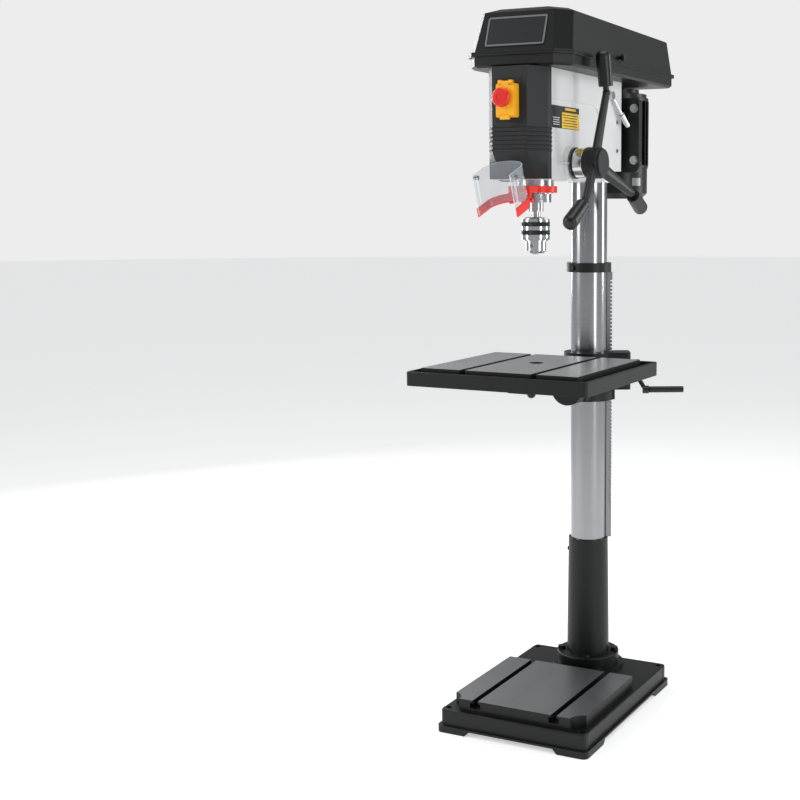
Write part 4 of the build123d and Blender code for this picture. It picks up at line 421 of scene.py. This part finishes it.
def knurlMesh(low, high):
    around = round(2 * math.pi * knurl["radius"] / knurl["pitch"])
    rows = max(knurl["fewestRows"], round((high - low) / knurl["pitch"] * 2))
    points = []
    for r in range(rows + 1):
        edge = r in (0, rows)
        for i in range(around * 2):
            peak = (i + r) % 2 and not edge
            radius = (knurl["radius"] + (knurl["depth"] if peak else 0)) * mm
            turn = math.pi * i / around
            points.append((radius * math.cos(turn), knurl["y"] * mm + radius * math.sin(turn),
                           (low + (high - low) * r / rows) * mm))
    return points, tubeFaces(around * 2, rows)


# the knurl takes the near-black material: painted shade for its grooves
addPiece("chuckKnurl", *joined([knurlMesh(low, high) for low, high in knurl["bands"]]), knurlGrooveShade,
         "chuck_ring", "chrome")
print("chuck knurled")


# plain frame on the badge of the lid's sloping front
badge = {"width": 150.0, "height": 72.0, "line": 4.0, "ink": 1.0, "inset": 3.5, "thick": 0.8}
low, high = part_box("badge_plate")
slope = math.atan2(high.y - low.y, high.z - low.z)
badgeOut = Vector((0, -math.cos(slope), math.sin(slope)))
badgeCentre = (low + high) / 2
badgePlace = facing(badgeCentre.x, badgeCentre.y, badgeCentre.z, badgeOut)
halfWidth, halfHeight = badge["width"] / 2 - badge["inset"], badge["height"] / 2 - badge["inset"]
frameRows = [(0, s * halfHeight, 2 * halfWidth, badge["line"]) for s in (-1, 1)]
frameRows += [(s * halfWidth, 0, badge["line"], 2 * halfHeight) for s in (-1, 1)]
addPiece("badgeFrame", *panelParts(badge, frameRows, badgePlace), badgeGrey, "lid", "badge")
print("badge framed")


# plain rating plate, bent round the motor's side
rating = {"turn": -28.0, "radius": 79.3, "low": 1316.0, "high": 1336.0, "span": 20.0, "thick": 0.5,
          "y": 182.0, "steps": 12}


def curvedPlate(spec):
    steps = spec["steps"]
    points, faces = [], []
    for radius in (spec["radius"], spec["radius"] + spec["thick"]):
        for z in (spec["low"], spec["high"]):
            for i in range(steps + 1):
                turn = math.radians(spec["turn"] + spec["span"] * (i / steps - 0.5))
                points.append((radius * mm * math.cos(turn),
                               spec["y"] * mm + radius * mm * math.sin(turn), z * mm))
    # four rows of points: inner low, inner high, outer low, outer high
    row = steps + 1
    for i in range(steps):
        faces += [[i, i + row, i + row + 1, i + 1],
                  [2 * row + i, 2 * row + i + 1, 3 * row + i + 1, 3 * row + i],
                  [i, i + 1, 2 * row + i + 1, 2 * row + i],
                  [row + i, 3 * row + i, 3 * row + i + 1, row + i + 1]]
    for i in (0, steps):
        faces.append([i, 2 * row + i, 3 * row + i, row + i])
    return points, faces


addPiece("ratingPlate", *curvedPlate(rating), milledSteel, "motor", "motor_paint")
print("rating plate built")


# a pale round floor under a pale sky, with a lit wall behind everything; the lights aim at the target
studio = {"radius": 30.0, "sides": 96, "below": -0.5 * mm, "wallHeight": 40.0, "target": (0, -0.15, 0.85),
          "sky": "#f2f4f6", "skyStrength": 0.38}
floorPaper = {"colour": "#e6e6e6", "roughness": 0.9, "glow": "#ffffff", "glowStrength": 0.5}
wallPaper = {"colour": "#000000", "roughness": 1.0, "glow": "#ececec", "glowStrength": 1.0}
angles = [2 * math.pi * i / studio["sides"] for i in range(studio["sides"])]
rim = [(studio["radius"] * math.cos(a), studio["radius"] * math.sin(a)) for a in angles]


def stagePiece(name, points, faces, materialName, paper):
    material, tree, shader = newMaterial(materialName, paper)
    shader.inputs["Emission Color"].default_value = hexToLinear(paper["glow"])
    shader.inputs["Emission Strength"].default_value = paper["glowStrength"]
    mesh = bpy.data.meshes.new(name)
    mesh.from_pydata(points, [], faces)
    mesh.materials.append(material)
    piece = bpy.data.objects.new(name, mesh)
    bpy.context.scene.collection.objects.link(piece)
    return piece


stagePiece("studioFloor", [(x, y, studio["below"]) for x, y in rim], [list(range(studio["sides"]))],
           "matte studio paper", floorPaper)
# the wall glows evenly and is left out of reflections, so that polished steel keeps its contrast
wall = stagePiece("studioWall", [(x, y, z) for z in (studio["below"], studio["wallHeight"]) for x, y in rim],
                  tubeFaces(studio["sides"], 1), "lit studio paper", wallPaper)
wall.visible_glossy = False
wall.visible_diffuse = False

world = bpy.data.worlds.new("paleSky")
bpy.context.scene.world = world
world.use_nodes = True
world.node_tree.nodes.clear()
sky = addNode(world.node_tree, "ShaderNodeBackground", {"Color": hexToLinear(studio["sky"]),
                                                        "Strength": studio["skyStrength"]})
addNode(world.node_tree, "ShaderNodeOutputWorld", {"Surface": sky.outputs[0]})

# place and size in metres, power in watts: a tall key at the left, a fill, two strips behind and a top
lights = {
    "keyLeft": {"at": (-2.6, -2.4, 2.2), "size": (1.2, 2.4), "power": 52},
    "fillRight": {"at": (3.4, -1.6, 1.6), "size": (0.8, 2.4), "power": 34},
    "rimLeft": {"at": (-2.4, 1.4, 1.9), "size": (0.6, 2.2), "power": 38},
    "rimRight": {"at": (2.6, 1.8, 1.9), "size": (0.6, 2.2), "power": 34},
    "top": {"at": (0.2, -0.6, 3.6), "size": (2.2, 2.2), "power": 34},
}
for name, spec in lights.items():
    lamp = bpy.data.lights.new(name, "AREA")
    lamp.shape = "RECTANGLE"
    lamp.size, lamp.size_y = spec["size"]
    lamp.energy = spec["power"]
    holder = bpy.data.objects.new(name, lamp)
    bpy.context.scene.collection.objects.link(holder)
    holder.location = spec["at"]
    aim = Vector(studio["target"]) - Vector(spec["at"])
    holder.rotation_euler = aim.to_track_quat("-Z", "Y").to_euler()

# the camera stands 3.3 m from the column and looks down a little; azimuth is measured from -Y towards +X,
# and the shift puts the press at the right of the picture, as in the photograph
camera = {"azimuth": 25.10, "pitch": 8.48, "distance": 3.3325, "side": 0.0604, "height": 1.2627,
          "lens": 58.43, "sensor": 36, "shift": -0.2067, "far": 100}
turn = math.radians(camera["azimuth"])
forward = Vector((-math.sin(turn), math.cos(turn), 0))
right = Vector((math.cos(turn), math.sin(turn), 0))
eye = -forward * camera["distance"] - right * camera["side"] + Vector((0, 0, camera["height"]))
lens = bpy.data.cameras.new("studioCamera")
lens.lens = camera["lens"]
lens.sensor_width = camera["sensor"]
lens.shift_x = camera["shift"]
lens.clip_end = camera["far"]
cameraObject = bpy.data.objects.new("studioCamera", lens)
bpy.context.scene.collection.objects.link(cameraObject)
cameraObject.location = eye
cameraObject.rotation_euler = (math.radians(90 - camera["pitch"]), 0, turn)
bpy.context.scene.camera = cameraObject
bpy.context.scene.view_settings.view_transform = "Standard"
print("studio set")
